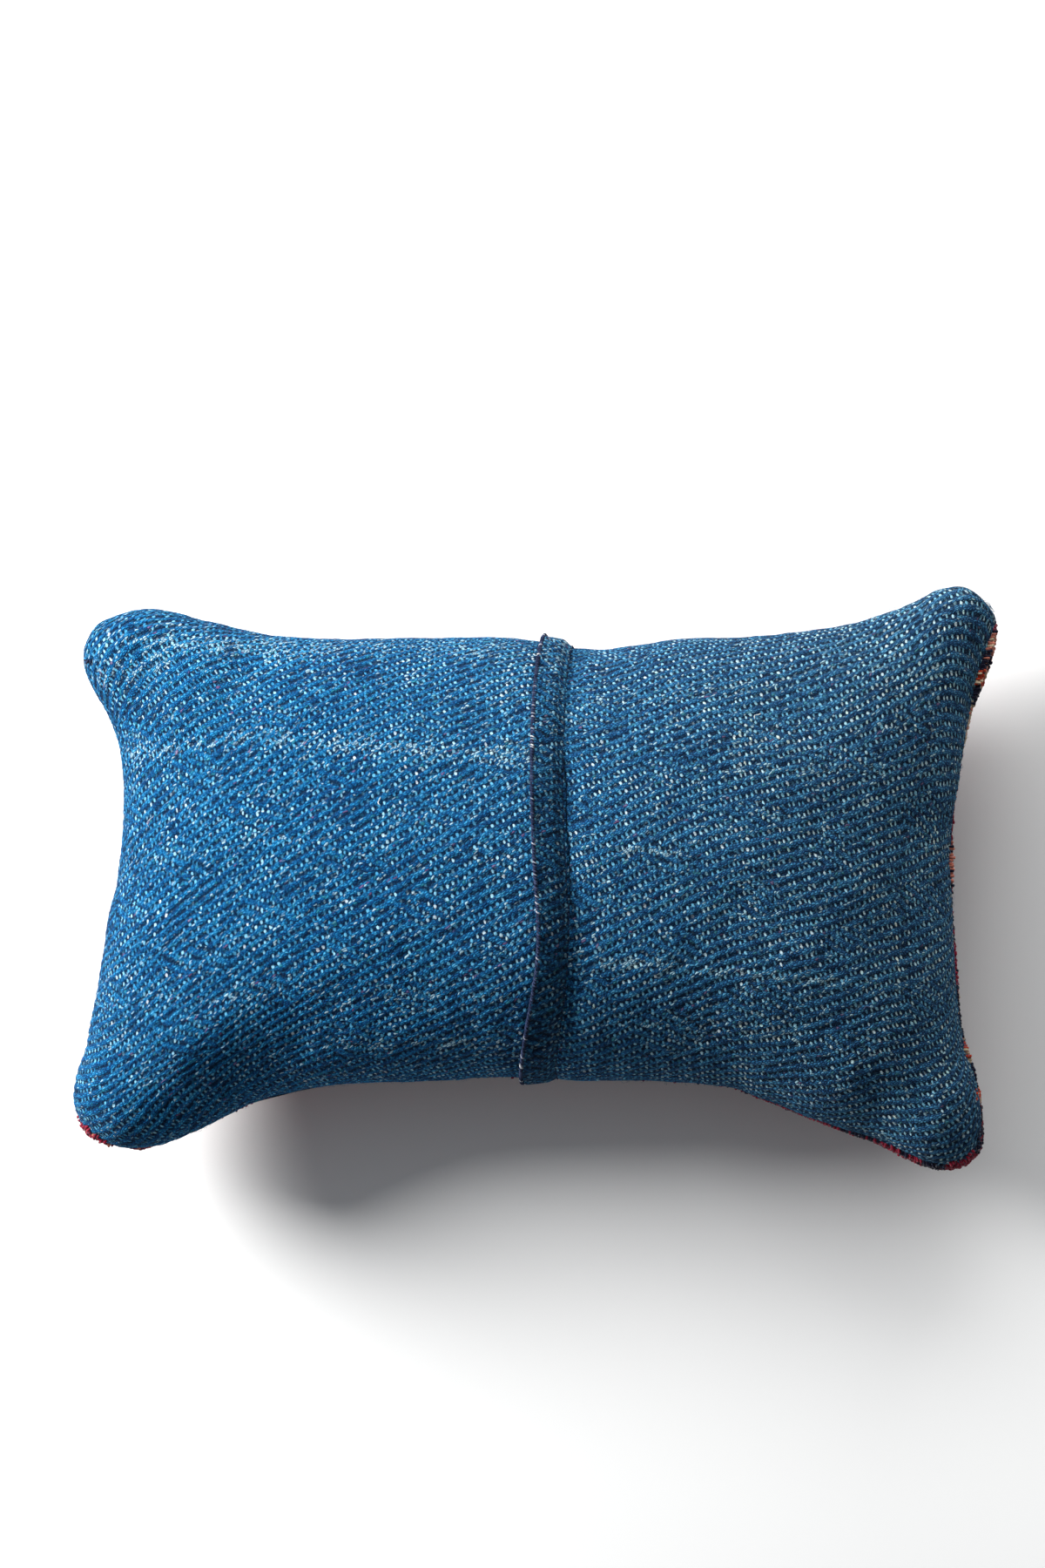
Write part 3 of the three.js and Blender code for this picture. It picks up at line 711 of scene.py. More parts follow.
def pile_material():
    n = Nodes("pile_wool")
    tone = n.add("ShaderNodeAttribute", attribute_name="tone").outputs["Fac"]
    tip = n.add("ShaderNodeAttribute", attribute_name="tip").outputs["Fac"]
    dyed = n.ramp(tone, [
        (0.0, (0.30, 0.018, 0.045)),
        (0.2, (0.014, 0.013, 0.034)),
        (0.4, (0.50, 0.055, 0.022)),
        (0.6, (0.62, 0.21, 0.15)),
        (0.8, (0.66, 0.52, 0.36)),
    ], "CONSTANT")
    place = n.add("ShaderNodeTexCoord").outputs["Object"]
    mottle = n.noise(place, 260.0, 3.0)
    strand = n.noise(place, 1400.0, 2.0)
    # The tufts are darker at the root than at the tip, painted shade between the tufts
    light = n.plus(n.times(mottle, 1.0), n.times(strand, 0.7))
    light = n.plus(n.times(light, 0.75), n.times(tip, 0.3))
    grey = n.grey(light)
    colour = n.mix(1.0, dyed, grey, "MULTIPLY")
    n.bump(strand, 0.6, 0.0006)
    return n.finish(colour, 0.95, 0.35, 0.4)


def backing_material():
    n = Nodes("carpet_backing")
    place = n.add("ShaderNodeTexCoord").outputs["Object"]
    rib = n.add("ShaderNodeTexWave", bands_direction="X")
    n.feed(rib.inputs["Vector"], place)
    rib.inputs["Scale"].default_value = 160.0
    rib.inputs["Distortion"].default_value = 1.5
    speck = n.noise(place, 700.0, 3.0)
    colour = n.ramp(speck, [(0.3, (0.05, 0.01, 0.02)), (0.7, (0.16, 0.03, 0.05))])
    n.bump(rib.outputs["Fac"], 0.6, 0.0006)
    return n.finish(colour, 0.95, 0.2)


def thread_material(name):
    """Thread by its tone: navy-black, mauve-grey and at last pale, with specks."""
    n = Nodes(name)
    tone = n.add("ShaderNodeAttribute", attribute_name="tone").outputs["Fac"]
    place = n.add("ShaderNodeTexCoord").outputs["Object"]
    speck = n.noise(place, 900.0, 3.0)
    mixed = n.plus(n.times(tone, 0.75), n.times(speck, 0.4))
    colour = n.ramp(mixed, [
        (0.15, (0.006, 0.012, 0.035)),
        (0.45, (0.020, 0.030, 0.075)),
        (0.7, (0.050, 0.070, 0.135)),
        (0.92, (0.30, 0.32, 0.38)),
        (1.0, (0.62, 0.66, 0.66)),
    ])
    n.bump(speck, 0.6, 0.0003)
    return n.finish(colour, 0.9, 0.05)


# Pieces of the woven back


def turned_patches():
    """Middle and half sizes of each patch of turned twill, with an uneven place and size."""
    luck = np.random.default_rng(23)
    for column in range(TURNED_COLUMNS):
        for row in range(TURNED_ROWS):
            down = row + (column % 2) / 2
            middle = np.array(TURNED_FIRST) + np.array(TURNED_STEP) * (column, -down)
            middle = middle + TURNED_UNEVEN * luck.uniform(-1, 1, 2)
            yield middle, np.array(TURNED_HALF) * (1 + TURNED_SPREAD * luck.uniform(-1, 1, 2))


def lean_of(points):
    """1 where the twill rises to the right and -1 where it leans the other way, in patches."""
    x, y = points[..., 0], points[..., 1]
    wobble = 0.3 * waves(x, y, 60, 14, 9, 21)
    patchy = waves(x, y, 24, 9, 12, 22) > -0.5
    turned = np.zeros(x.shape, bool)
    for middle, half in turned_patches():
        turned |= ((x - middle[0]) / half[0]) ** 2 + ((y - middle[1]) / half[1]) ** 2 < 1 + wobble
    return np.where(turned & patchy, -1.0, 1.0)


def twill_height(warp, pick, lean, seed):
    """Relief of the weave: ridges of weft floats, furrows between them, a warp in each tie."""
    luck = np.random.default_rng(seed).random((256, 256))
    diagonal = (pick - 0.5) - lean * (warp - 0.5)
    furrow = 0.5 + 0.5 * np.cos(2 * math.pi * diagonal / TWILL)
    dots = np.zeros(warp.shape)
    for column in (np.floor(warp), np.ceil(warp) - 1):
        run = pick - 0.5 - lean * column + TWILL / 2
        tie = np.floor(run / TWILL)
        from_tie = run - TWILL * tie - TWILL / 2
        across = warp - column - 0.5
        size = 0.35 + luck[np.mod(column, 256).astype(int), np.mod(tie, 256).astype(int)]
        dots = np.maximum(dots, size * np.exp(-((across / 0.4) ** 2) - (from_tie / 0.7) ** 2))
    own_float = np.floor((warp - 0.5 - lean * np.floor(pick)) / TWILL)
    bulge = luck[np.mod(np.floor(pick), 256).astype(int), np.mod(own_float, 256).astype(int)] - 0.5
    pick_swell = 0.5 * np.cos(2 * math.pi * (pick - 0.5))
    ridge = PICK_RELIEF * pick_swell + FLOAT_RELIEF * bulge - RIDGE_DEPTH * furrow**1.4
    return ridge + WARP_RELIEF * dots


def pale_yarn(points):
    """How pale the wefts are: bands of lighter yarn that fade and break up along their length."""
    x, y = points[..., 0], points[..., 1]
    pale = np.zeros(x.shape)
    for px, py, half_long, half_wide, slope, strength in PALE_YARN:
        across = (y - py - slope * (x - px)) / half_wide
        pale += strength * np.exp(-(((x - px) / half_long) ** 4) - across**2)
    return np.maximum(pale, 0) * (0.75 + 0.35 * waves(x, y, 40, 12, 10, 51))


def back_unevenness(points):
    x, y = points[..., 0], points[..., 1]
    return 0.9 * waves(x, y, 150, 60, 8, 3) + 0.22 * waves(x, y, 36, 14, 14, 5)


def inner_seat(a, b):
    """The carpet side moved in by the pile's thickness, where the filled body sits in it."""
    points = carpet(a, b)
    return points - grid_outward(points, a, b) * (pile_thickness(a, b) + GAP)[..., None]


def pile_thickness(a, b):
    into_ear = (np.minimum(np.abs(a), np.abs(b)) - EAR_START) / (1 - EAR_START)
    return PILE + (EAR_PILE - PILE) * np.clip(into_ear, 0, 1)


def grid_outward(points, a, b):
    """Outward directions of the carpet side, level at the seam."""
    outward = -grid_normals(points)
    at_seam = np.maximum(np.abs(a), np.abs(b)) > 1 - TINY
    plan_out = outward.copy()
    plan_out[..., 2] = 0
    ring = [(0, i) for i in range(points.shape[1] - 1)]
    ring += [(j, points.shape[1] - 1) for j in range(points.shape[0] - 1)]
    ring += [(points.shape[0] - 1, i) for i in range(points.shape[1] - 1, 0, -1)]
    ring += [(j, 0) for j in range(points.shape[0] - 1, 0, -1)]
    for k, here in enumerate(ring):
        tangent = points[ring[(k + 1) % len(ring)]] - points[ring[k - 1]]
        plan_out[here] = (tangent[1], -tangent[0], 0)
    return np.where(at_seam[..., None], unit(plan_out), outward)


def make_panel(name, low, high, warps, first_warp, tilt, material):
    """One panel of the back with its half of the filling: fine twill above, the seat below."""
    columns, rows = 2 * warps + 1, 2 * PICKS + 1
    shares = even_grid(back, low, high, columns, rows, tilt)
    points = back(shares[..., 0], shares[..., 1])
    warp = np.broadcast_to(first_warp + np.linspace(0, warps, columns), points.shape[:2])
    pick = np.broadcast_to(np.linspace(0, PICKS, rows)[:, None], points.shape[:2])
    lean = lean_of(points)
    edge = np.minimum(np.minimum(shares[..., 0] + 1, 1 - shares[..., 0]), 1 - np.abs(shares[..., 1]))
    fade = np.clip(edge / 0.03, 0, 1)
    beside = points[..., 0] - curve(STRIP_SEWN, points[..., 1])
    width = curve(STRIP_SEWN, points[..., 1]) - curve(STRIP_FREE, points[..., 1])
    covered = ease((beside + width) / 4 + 0.5) * (beside < 0.5)
    dip = 0.6 * covered + (1 - covered) * SEAM_DIP * np.exp(-((beside / SEAM_WIDTH) ** 2))
    weave_height = twill_height(warp, pick, lean, first_warp + 5) * (1 - covered)
    height = (weave_height + back_unevenness(points) * (1 - 0.6 * covered) - dip) * fade
    up = grid_normals(points)
    along = unit(np.gradient(points, axis=1))
    wander = WANDER * fade[..., None] * np.stack([
        waves(points[..., 0], points[..., 1], 70, 9, 16, 41),
        waves(points[..., 0], points[..., 1], 70, 9, 16, 42),
    ], axis=-1)
    points = points + up * height[..., None]
    points += along * wander[..., :1] + np.cross(up, along) * wander[..., 1:]

    s, t = np.linspace(0, 1, 25), np.linspace(-1, 1, 25)
    a = low(t)[:, None] * (1 - s) + high(t)[:, None] * s
    b = np.broadcast_to(t[:, None], a.shape)
    seat = inner_seat(a, b)
    total = points.shape[0] * points.shape[1]
    faces = grid_faces(columns, rows)
    faces += grid_faces(25, 25, total, flip=True)
    faces += zip_rims(rim(columns, rows), rim(25, 25, total))
    weave = np.stack([warp, pick, lean], axis=-1).reshape(-1, 3)
    weave = np.concatenate([weave, np.full((seat.shape[0] * seat.shape[1], 3), 1.0)])
    everything = np.concatenate([points.reshape(-1, 3), seat.reshape(-1, 3)])
    pale = np.concatenate([pale_yarn(points).ravel(), np.zeros(seat.shape[0] * seat.shape[1])])
    attributes = [("weave", "FLOAT_VECTOR", weave), ("pale", "FLOAT", pale)]
    return new_object(name, everything, faces, material, attributes=attributes)


rough_b = np.linspace(-1, 1, SEAM_ROWS)
sewn_shares = share_at_x(lambda y: curve(STRIP_SEWN, y), rough_b)
sewn = lambda b: np.interp(b, rough_b, sewn_shares)
end = lambda value: lambda b: np.full(np.shape(b), float(value))

twill = twill_material("blue_twill_wool")
left_panel = make_panel("left_panel", end(-1), sewn, WARPS_LEFT, 0, PICK_TILT_LEFT, twill)
right_panel = make_panel("right_panel", sewn, end(1), WARPS_RIGHT, 400, PICK_TILT_RIGHT, twill)


def cloth_at(a, b):
    """Points of the back with the directions along it, across it and out of it."""
    step = 0.004
    points = back(a, b)
    along = unit(back(a * 0.99 + step, b) - back(a * 0.99 - step, b))
    across = unit(back(a, b * 0.99 + step) - back(a, b * 0.99 - step))
    return points, along, across, unit(np.cross(along, across))


def on_back(x, y):
    """Points on the back over places x and y, with the outward direction there."""
    a, b = np.meshgrid(np.linspace(-0.995, 0.995, 400), np.linspace(-0.995, 0.995, 260))
    points = back(a, b)
    normals = grid_normals(points)
    flat, out = points.reshape(-1, 3), normals.reshape(-1, 3)
    near = [int(((flat[:, 0] - px) ** 2 + (flat[:, 1] - py) ** 2).argmin()) for px, py in zip(x, y)]
    return flat[near], out[near]


# The lapped strip and its overcast edge


def over_back(b, sideways, lift):
    """Points over the back, sideways from the free edge of the strip, lifted off the cloth."""
    a = share_at_x(lambda y: curve(STRIP_FREE, y) + sideways, b)
    step = 0.006
    along = back(a + step, b) - back(a - step, b)
    across = back(a, b + step) - back(a, b - step)
    up = unit(np.cross(along, across))
    return back(a, b) + up * np.asarray(lift)[..., None]


def strip_shares(count):
    """Shares across, spaced evenly along the strip, from the front edge to the back."""
    b = np.linspace(-STRIP_ENDS, STRIP_ENDS, 600)
    points = back(share_at_x(lambda y: curve(STRIP_FREE, y), b), b)
    length = np.concatenate([[0], np.cumsum(np.linalg.norm(np.diff(points, axis=0), axis=1))])
    return np.interp(np.linspace(0, length[-1], count), length, b), length[-1]


def strip_lift(share, b):
    """The underside of the strip over the cloth, which lies flatter at the two ends."""
    flat_end = 1 - 0.75 * ease((np.abs(b) - 0.7) / 0.27)
    seat = STRIP_SEAT * (1 - ease((share - 0.5) / 0.5)) + STRIP_LIFT * (1 - share) ** 2
    return 0.35 - STRIP_SINK * ease((share - 0.6) / 0.4) + seat * flat_end


def strip_thick(share, b):
    """The strip thins out where it dips into its sewn line, and at its ends."""
    near_ends = 1 - 0.4 * ease((np.abs(b) - 0.75) / 0.2)
    near_sewn_line = 1 - 0.85 * ease((share - 0.66) / 0.34)
    return STRIP_THICKNESS * near_ends * near_sewn_line


def make_strip():
    length = strip_shares(2)[1]
    picks = int(length / PICK_PITCH)
    rows, columns = 2 * picks + 1, 19
    b = strip_shares(rows)[0]
    share = np.linspace(0, 1, columns)
    grid_b, grid_share = np.meshgrid(b, share, indexing="ij")
    y = back(np.full(b.shape, 0.06), b)[:, 1]
    width = (curve(STRIP_SEWN, y) - curve(STRIP_FREE, y))[:, None] + 0.6
    warp = np.broadcast_to(share * 6.0 + 700, grid_b.shape)
    pick = np.broadcast_to(np.linspace(0, picks, rows)[:, None], grid_b.shape)
    lean = np.where(waves(pick * PICK_PITCH, grid_share * 20, 50, 12, 10, 35) > 0.1, 1.0, -1.0)
    edge_roll = 0.8 * np.exp(-((grid_share / 0.1) ** 2))
    inside = ease(np.minimum(grid_share, 1 - grid_share) / 0.1)
    relief = twill_height(warp, pick, lean, 77) * inside * 0.8
    ripple = (0.6 * waves(pick * PICK_PITCH, grid_share * 20, 60, 18, 8, 33) * (1 - grid_share))
    lift, thick = strip_lift(grid_share, grid_b), strip_thick(grid_share, grid_b)
    upper = over_back(grid_b, grid_share * width, lift + thick + relief + ripple - edge_roll)
    lower = over_back(grid_b, grid_share * width, lift + np.minimum(ripple, 0.3) * 0.4 + edge_roll)
    total = rows * columns
    faces = grid_faces(columns, rows) + grid_faces(columns, rows, total, flip=True)
    faces += zip_rims(rim(columns, rows), rim(columns, rows, total))
    points = np.concatenate([upper.reshape(-1, 3), lower.reshape(-1, 3)])
    weave = np.tile(np.stack([warp, pick, lean], axis=-1).reshape(-1, 3), (2, 1))
    # The strip's colour darkens towards its front end as painted shade
    material = twill_material("strip_twill_wool", (0.03, 0.13, 0.62, 1.0), -0.12)
    pale = 0.5 * np.tile(ease((grid_b.ravel() - 0.35) / 0.5), 2)
    attributes = [("weave", "FLOAT_VECTOR", weave), ("pale", "FLOAT", pale)]
    return new_object("back_strip_cloth", points, faces, material, attributes=attributes), length


strip, strip_length = make_strip()


def tubes(lines, radii, sides=6):
    """Closed tubes along lines of points, with round ends drawn in. Returns points and faces."""
    points, faces = [], []
    ring = np.arange(sides) * 2 * math.pi / sides
    for line, radius in zip(lines, radii):
        line = np.asarray(line)
        tangent = unit(np.gradient(line, axis=0))
        guide = np.array([0.3, 0.2, 1.0]) / 1.06
        first = unit(np.cross(tangent, np.broadcast_to(guide, tangent.shape)))
        second = np.cross(tangent, first)
        taper = np.ones(len(line))
        taper[[0, -1]] = 0.4
        start = sum(len(p) for p in points)
        rings = line[:, None] + (radius * taper)[:, None, None] * (
            first[:, None] * np.cos(ring)[None, :, None] + second[:, None] * np.sin(ring)[None, :, None]
        )
        points.append(rings.reshape(-1, 3))
        for k in range(len(line) - 1):
            for m in range(sides):
                n = (m + 1) % sides
                low, high = start + k * sides, start + (k + 1) * sides
                faces.append([low + m, low + n, high + n, high + m])
        faces.append([start + m for m in range(sides)][::-1])
        faces.append([start + (len(line) - 1) * sides + m for m in range(sides)])
    return np.concatenate(points), faces


def make_overcast():
    """Slanted stitches wrapped round the free edge of the strip, over a thin cord of thread."""
    count = int(strip_length / STITCH_PITCH)
    b = strip_shares(count)[0]
    lines, tones, radii = [], [], []
    around = np.linspace(math.radians(-50), math.radians(200), 8)
    slant = STITCH_PITCH * 1.3 / strip_length * (2 * STRIP_ENDS)
    for k in range(count):
        wobble = RANDOM.normal(0, 0.25, 3)
        b_line = b[k] + slant * (np.linspace(-0.5, 0.5, 8) + wobble[1] * 0.5)
        b_line = np.clip(b_line, -STRIP_ENDS, STRIP_ENDS)
        middle = strip_lift(0.0, b_line) + strip_thick(0.0, b_line) / 2
        half = strip_thick(0.0, b_line) / 2 + 0.15
        sideways = 0.35 - (STITCH_REACH + 0.5 * wobble[0]) * np.sin(around)
        lines.append(over_back(b_line, sideways, middle + (half + 0.2 * wobble[2]) * np.cos(around)))
        white = RANDOM.random() < 0.16
        tones.append(RANDOM.uniform(0.8, 1.05) if white else RANDOM.uniform(0, 0.55))
        radii.append(STITCH_RADIUS * (0.8 + 0.45 * RANDOM.random()))
    core = strip_shares(170)[0]
    middle = strip_lift(0.0, core) + strip_thick(0.0, core) / 2
    lines.append(over_back(core, np.full(core.shape, -0.1), middle))
    tones.append(0.05)
    radii.append(1.0)
    points, faces = tubes(lines, radii)
    tone = np.concatenate([np.full(len(line) * 6, value) for line, value in zip(lines, tones)])
    attributes = [("tone", "FLOAT", tone)]
    return new_object("overcast_stitches", points, faces, wool_thread, attributes=attributes)


def make_seam_stitches():
    """The row of stitches that holds the strip down, drawn into its groove."""
    length, gap = 3.6, 1.5
    count = int(strip_length / (length + gap))
    b = strip_shares(count * 12)[0]
    lines = []
    for k in range(1, count - 1):
        b_line = b[k * 12:k * 12 + 8]
        y = back(np.full(b_line.shape, 0.06), b_line)[:, 1]
        width = curve(STRIP_SEWN, y) - curve(STRIP_FREE, y)
        drawn_in = 0.15 - 1.2 * np.abs(np.linspace(-1, 1, 8)) ** 3
        lines.append(over_back(b_line, width + 0.2 + 0.25 * RANDOM.normal(), drawn_in))
    points, faces = tubes(lines, [0.36] * len(lines))
    tone = np.repeat(RANDOM.random(len(lines)) * 0.3, 8 * 6)
    return new_object("seam_stitches", points, faces, wool_thread, attributes=[("tone", "FLOAT", tone)])


wool_thread = thread_material("overcast_wool")
overcast = make_overcast()
seam = make_seam_stitches()


# The carpet: a ribbed backing and its cut pile


def overhang(a, b):
    """How far the pile stands out past the seam line."""
    sides = np.stack([1 - b, 1 + b, 1 + a, 1 - a])
    out = np.stack([
        curve(BACK_OVERHANG, a), curve(FRONT_OVERHANG, a),
        curve(LEFT_OVERHANG, b), curve(RIGHT_OVERHANG, b),
    ])
    nearest = sides.argmin(axis=0)
    near = np.take_along_axis(sides, nearest[None], 0)[0]
    out = np.take_along_axis(out, nearest[None], 0)[0]
    fade = np.clip(1 - near / OVERHANG_REACH, 0, 1)
    swell = RIM_ROUND + (1 - RIM_ROUND) * np.clip(near / 0.05, 0, 1)
    return out * swell * fade**2 * (3 - 2 * fade)


def carpet_layers(shares):
    a, b = shares[..., 0], shares[..., 1]
    points = carpet(a, b)
    return points, grid_outward(points, a, b), overhang(a, b), pile_thickness(a, b)


def make_backing():
    shares = even_grid(carpet, end(-1), end(1), 121, 81)
    points, outward, _, thickness = carpet_layers(shares)
    inner = points - outward * thickness[..., None]
    outer = points - outward * (thickness * 0.45)[..., None]
    faces = grid_faces(121, 81) + grid_faces(121, 81, 121 * 81, flip=True)
    faces += zip_rims(rim(121, 81), rim(121, 81, 121 * 81))
    everything = np.concatenate([inner.reshape(-1, 3), outer.reshape(-1, 3)])
    return new_object("carpet_backing", everything, faces, backing_material())


def yarns_along(rows, place):
    """The yarn and the yarn of the flecks at each place along a border, as tones."""
    row = np.searchsorted([limit for limit, _, _ in rows[:-1]], place)
    main = np.array([YARNS[yarn] for _, yarn, _ in rows])[row]
    fleck = np.array([YARNS[yarn] for _, _, yarn in rows])[row]
    return main, fleck


def design(points, a, b):
    """The yarn of each tuft: a crimson field with navy lines, and borders of small blocks."""
    x, y = points[:, 0], points[:, 1]
    uneven = 2.5 * np.sin(x / 5) + RANDOM.normal(0, 1.2, len(x))
    right = 1 - a < np.minimum(1 + b, 1 - b)
    right_main, right_fleck = yarns_along(RIGHT_BORDER, y + uneven)
    front_main, front_fleck = yarns_along(FRONT_BORDER, x + uneven)
    main = np.where(right, right_main, front_main)
    fleck = np.where(right, right_fleck, front_fleck)
    border = np.where(RANDOM.random(len(x)) < 0.22, fleck, main)
    inside = np.minimum(1 - np.abs(a), 1 - np.abs(b))
    field = np.where((inside > 0.15) & (inside < 0.18), YARNS["navy"], YARNS["crimson"])
    field = np.where(RANDOM.random(len(x)) < 0.05, YARNS["navy"], field)
    return np.where((inside < 0.13) & (right | (b < 0)), border, field)


def make_pile(name, material):
    """Cut tufts on the carpet side, in one band of a few tuft rows."""
    band = PILE_BANDS[name]
    pitch, sides = band["pitch"], band["sides"]
    columns, rows = int(606 / pitch), int(370 / pitch)
    shares = even_grid(carpet, end(-1), end(1), columns, rows)
    points, outward, out, thickness = carpet_layers(shares)
    edge_x = np.minimum(np.arange(columns), np.arange(columns)[::-1]) * pitch
    edge_y = np.minimum(np.arange(rows), np.arange(rows)[::-1]) * pitch
    from_edge = np.minimum(edge_x[None, :], edge_y[:, None])
    chosen = (from_edge >= band["start"]) & (from_edge < band["end"])
    across = unit(np.gradient(points, axis=1))
    place, up, side_way = points[chosen], outward[chosen], across[chosen]
    a, b = shares[chosen][:, 0], shares[chosen][:, 1]
    reach = out[chosen] * 1.3 - 0.8
    thick = thickness[chosen] * 0.5
    return tufts(name, material, pitch, sides, place, up, side_way, thick, reach, a, b)


def make_turned_pile(material):
    """Tufts where the edge of the carpet is turned up over the seam."""
    places, shares = [], []
    for table, rows, along_x, left_hand, place_at in (
        (FRONT_TURNED, FRONT_EDGE, True, 1, lambda along: (along, -0.99)),
        (LEFT_TURNED, LEFT_EDGE, False, -1, lambda along: (-0.99, along)),
        (RIGHT_TURNED, RIGHT_EDGE, False, 1, lambda along: (0.99, along)),
    ):
        even = np.linspace(-1, 1, int((rows[-1][0] - rows[0][0]) / TURNED_PITCH))
        seam = side(rows, even, along_x)
        tangent = unit(np.gradient(seam, axis=0))
        inward = left_hand * np.stack([-tangent[:, 1], tangent[:, 0]], axis=-1)
        along = np.arcsin(even) * 2 / math.pi
        turned = curve(table, along)
        for row in range(5):
            distance = (row + 0.2) * TURNED_PITCH
            chosen = turned > distance
            places.append((seam + inward * distance)[chosen])
            shares += [place_at(share) for share in along[chosen]]
    x, y = np.concatenate(places).T
    a, b = np.array(shares).T
    place, up = on_back(x, y)
    place[:, 0], place[:, 1] = x, y
    up = unit(up + TURNED_LEAN * unit(place * (1, 1, 0)))
    side_way = unit(np.cross(up, (0.0, 0.0, 1.0)))
    depth, reach = np.full(len(a), TURNED_ROOT), np.full(len(a), 1.5)
    return tufts("turned_pile", material, TURNED_PITCH, 6, place, up, side_way, depth, reach, a, b)


def tufts(name, material, pitch, sides, place, up, side_way, depth, reach, a, b):
    """Cut tufts of yarn at places on the carpet, joined in one mesh."""
    other_way = np.cross(up, side_way)
    count = len(place)
    jitter = RANDOM.uniform(-0.4, 0.4, (count, 2)) * pitch
    place = place + side_way * jitter[:, :1] + other_way * jitter[:, 1:]
    reach = reach + RANDOM.normal(0, 0.35, count)
    root = place - up * depth[:, None]
    nap = np.array([0.0, -0.25, -0.1]) + RANDOM.normal(0, 0.2, (count, 3))
    tip = place + up * reach[:, None] + nap * 0.5 * pitch
    half = pitch * 0.5 * RANDOM.uniform(0.8, 1.3, count)
    turn = RANDOM.uniform(0, math.pi / 2, count)
    first = side_way * np.cos(turn)[:, None] + other_way * np.sin(turn)[:, None]
    second = np.cross(up, first)
    rings = []
    for centre, scale in ((root, 0.8), (tip, 1.1)):
        for k in range(sides):
            angle = 2 * math.pi * (k + 0.5) / sides
            size = (half * scale * RANDOM.uniform(0.75, 1.2, count))[:, None]
            ragged = up * RANDOM.normal(0, 0.22, count)[:, None] if scale > 1 else 0
            rings.append(centre + (first * math.cos(angle) + second * math.sin(angle)) * size + ragged)
    rings.append(tip + up * 0.28 * pitch)
    corners = np.stack(rings, axis=1)
    corners[..., 2] = np.maximum(corners[..., 2], 0.15 + 0.2 * RANDOM.random((count, 1)))
    base = np.arange(count)[:, None] * (2 * sides + 1)
    walls = [[k, (k + 1) % sides, sides + (k + 1) % sides, sides + k] for k in range(sides)]
    tops = [[sides + k, sides + (k + 1) % sides, 2 * sides] for k in range(sides)]
    bottom = [list(range(sides))[::-1]]
    faces = [row for part in walls + tops + bottom for row in (base + np.array(part)).tolist()]
    tone = np.repeat(design(place, a, b), 2 * sides + 1)
    # How far up the tuft each point is, for the painted shade at the roots
    tip_painted_light = np.tile([0.0] * sides + [0.8] * sides + [1.0], count)
    attributes = [("tone", "FLOAT", tone), ("tip", "FLOAT", tip_painted_light)]
    return new_object(name, corners.reshape(-1, 3), faces, material, attributes=attributes)


backing = make_backing()
wool = pile_material()
piles = [make_pile(name, wool) for name in PILE_BANDS] + [make_turned_pile(wool)]


# Loose fibres and threads


def fibre_material(name, colour):
    n = Nodes(name)
    place = n.add("ShaderNodeTexCoord").outputs["Object"]
    dark = tuple(0.5 * part for part in colour)
    return n.finish(n.ramp(n.noise(place, 400.0), [(0.35, dark), (0.65, colour)]), 0.9, 0.1)


def make_fuzz():
    """Short wool fibres that stand off the cloth, so that its outline is soft."""
    a = np.sin(RANDOM.uniform(-1, 1, FIBRES) * math.pi / 2) * 0.999
    b = np.sin(RANDOM.uniform(-1, 1, FIBRES) * math.pi / 2) * 0.999
    points, along, across, up = cloth_at(a, b)
    heading = RANDOM.uniform(0, 2 * math.pi, FIBRES)
    way = along * np.cos(heading)[:, None] + across * np.sin(heading)[:, None]
    length = RANDOM.uniform(1.5, 4.5, FIBRES)
    rise = RANDOM.uniform(0.4, 1.7, FIBRES)
    share = np.linspace(0, 1, 4)
    bend = np.sin(share * math.pi * 0.8) + 0.15
    lines = points[:, None] + way[:, None] * (share[None, :, None] * length[:, None, None])
    lines = lines + up[:, None] * (bend[None, :, None] * rise[:, None, None])
    push = RANDOM.normal(0, 0.8, (FIBRES, 1, 1))
    drift = np.cross(up, way)[:, None] * (share[None, :, None] ** 2 * push)
    mesh_points, faces = tubes(list(lines + drift), RANDOM.uniform(0.05, 0.1, FIBRES), sides=3)
    return new_object("fuzz", mesh_points, faces, fibre_material("blue_fibre", (0.13, 0.30, 0.46)))


def make_strays():
    """Loose thread ends on the back, each a bent line over the cloth."""
    lines, radii, tones = [], [], []
    for x, y, length, heading, curl, radius, tone in STRAYS:
        turn = math.radians(heading)
        share = np.linspace(0, 1, 12)
        swing = curl * np.sin(share * math.pi * 1.3)
        line_x = x + length * share * math.cos(turn) - swing * math.sin(turn)
        line_y = y + length * share * math.sin(turn) + swing * math.cos(turn)
        points, up = on_back(line_x, line_y)
        points[:, 0], points[:, 1] = line_x, line_y
        lines.append(points + up * (1.0 + 0.5 * np.sin(share * math.pi * 2.2))[:, None])
        radii.append(radius)
        tones.append(tone)
    points, faces = tubes(lines, radii, sides=5)
    tone = np.concatenate([np.full(len(line) * 5, value) for line, value in zip(lines, tones)])
    material = thread_material("stray_wool")
    return new_object("stray_threads", points, faces, material, attributes=[("tone", "FLOAT", tone)])


fuzz = make_fuzz()
strays = make_strays()


# Each piece is attached to the root, and the CAD parts that the pieces stand in for are hidden

for piece, node, slot in (
    (left_panel, "cushion", "blue_twill"),
    (right_panel, "cushion", "blue_twill"),
    (strip, "back_strip", "strip_twill"),
    (overcast, "strip_overcast", "overcast_thread"),
    (backing, "carpet_face", "pile_carpet"),
    *[(pile, "carpet_face", "pile_carpet") for pile in piles],
):
    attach(piece, "root")
    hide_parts(node)
for piece, slot in ((seam, "overcast_thread"), (strays, "overcast_thread"), (fuzz, "blue_twill")):
    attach(piece, "root")


# Floor, light and camera


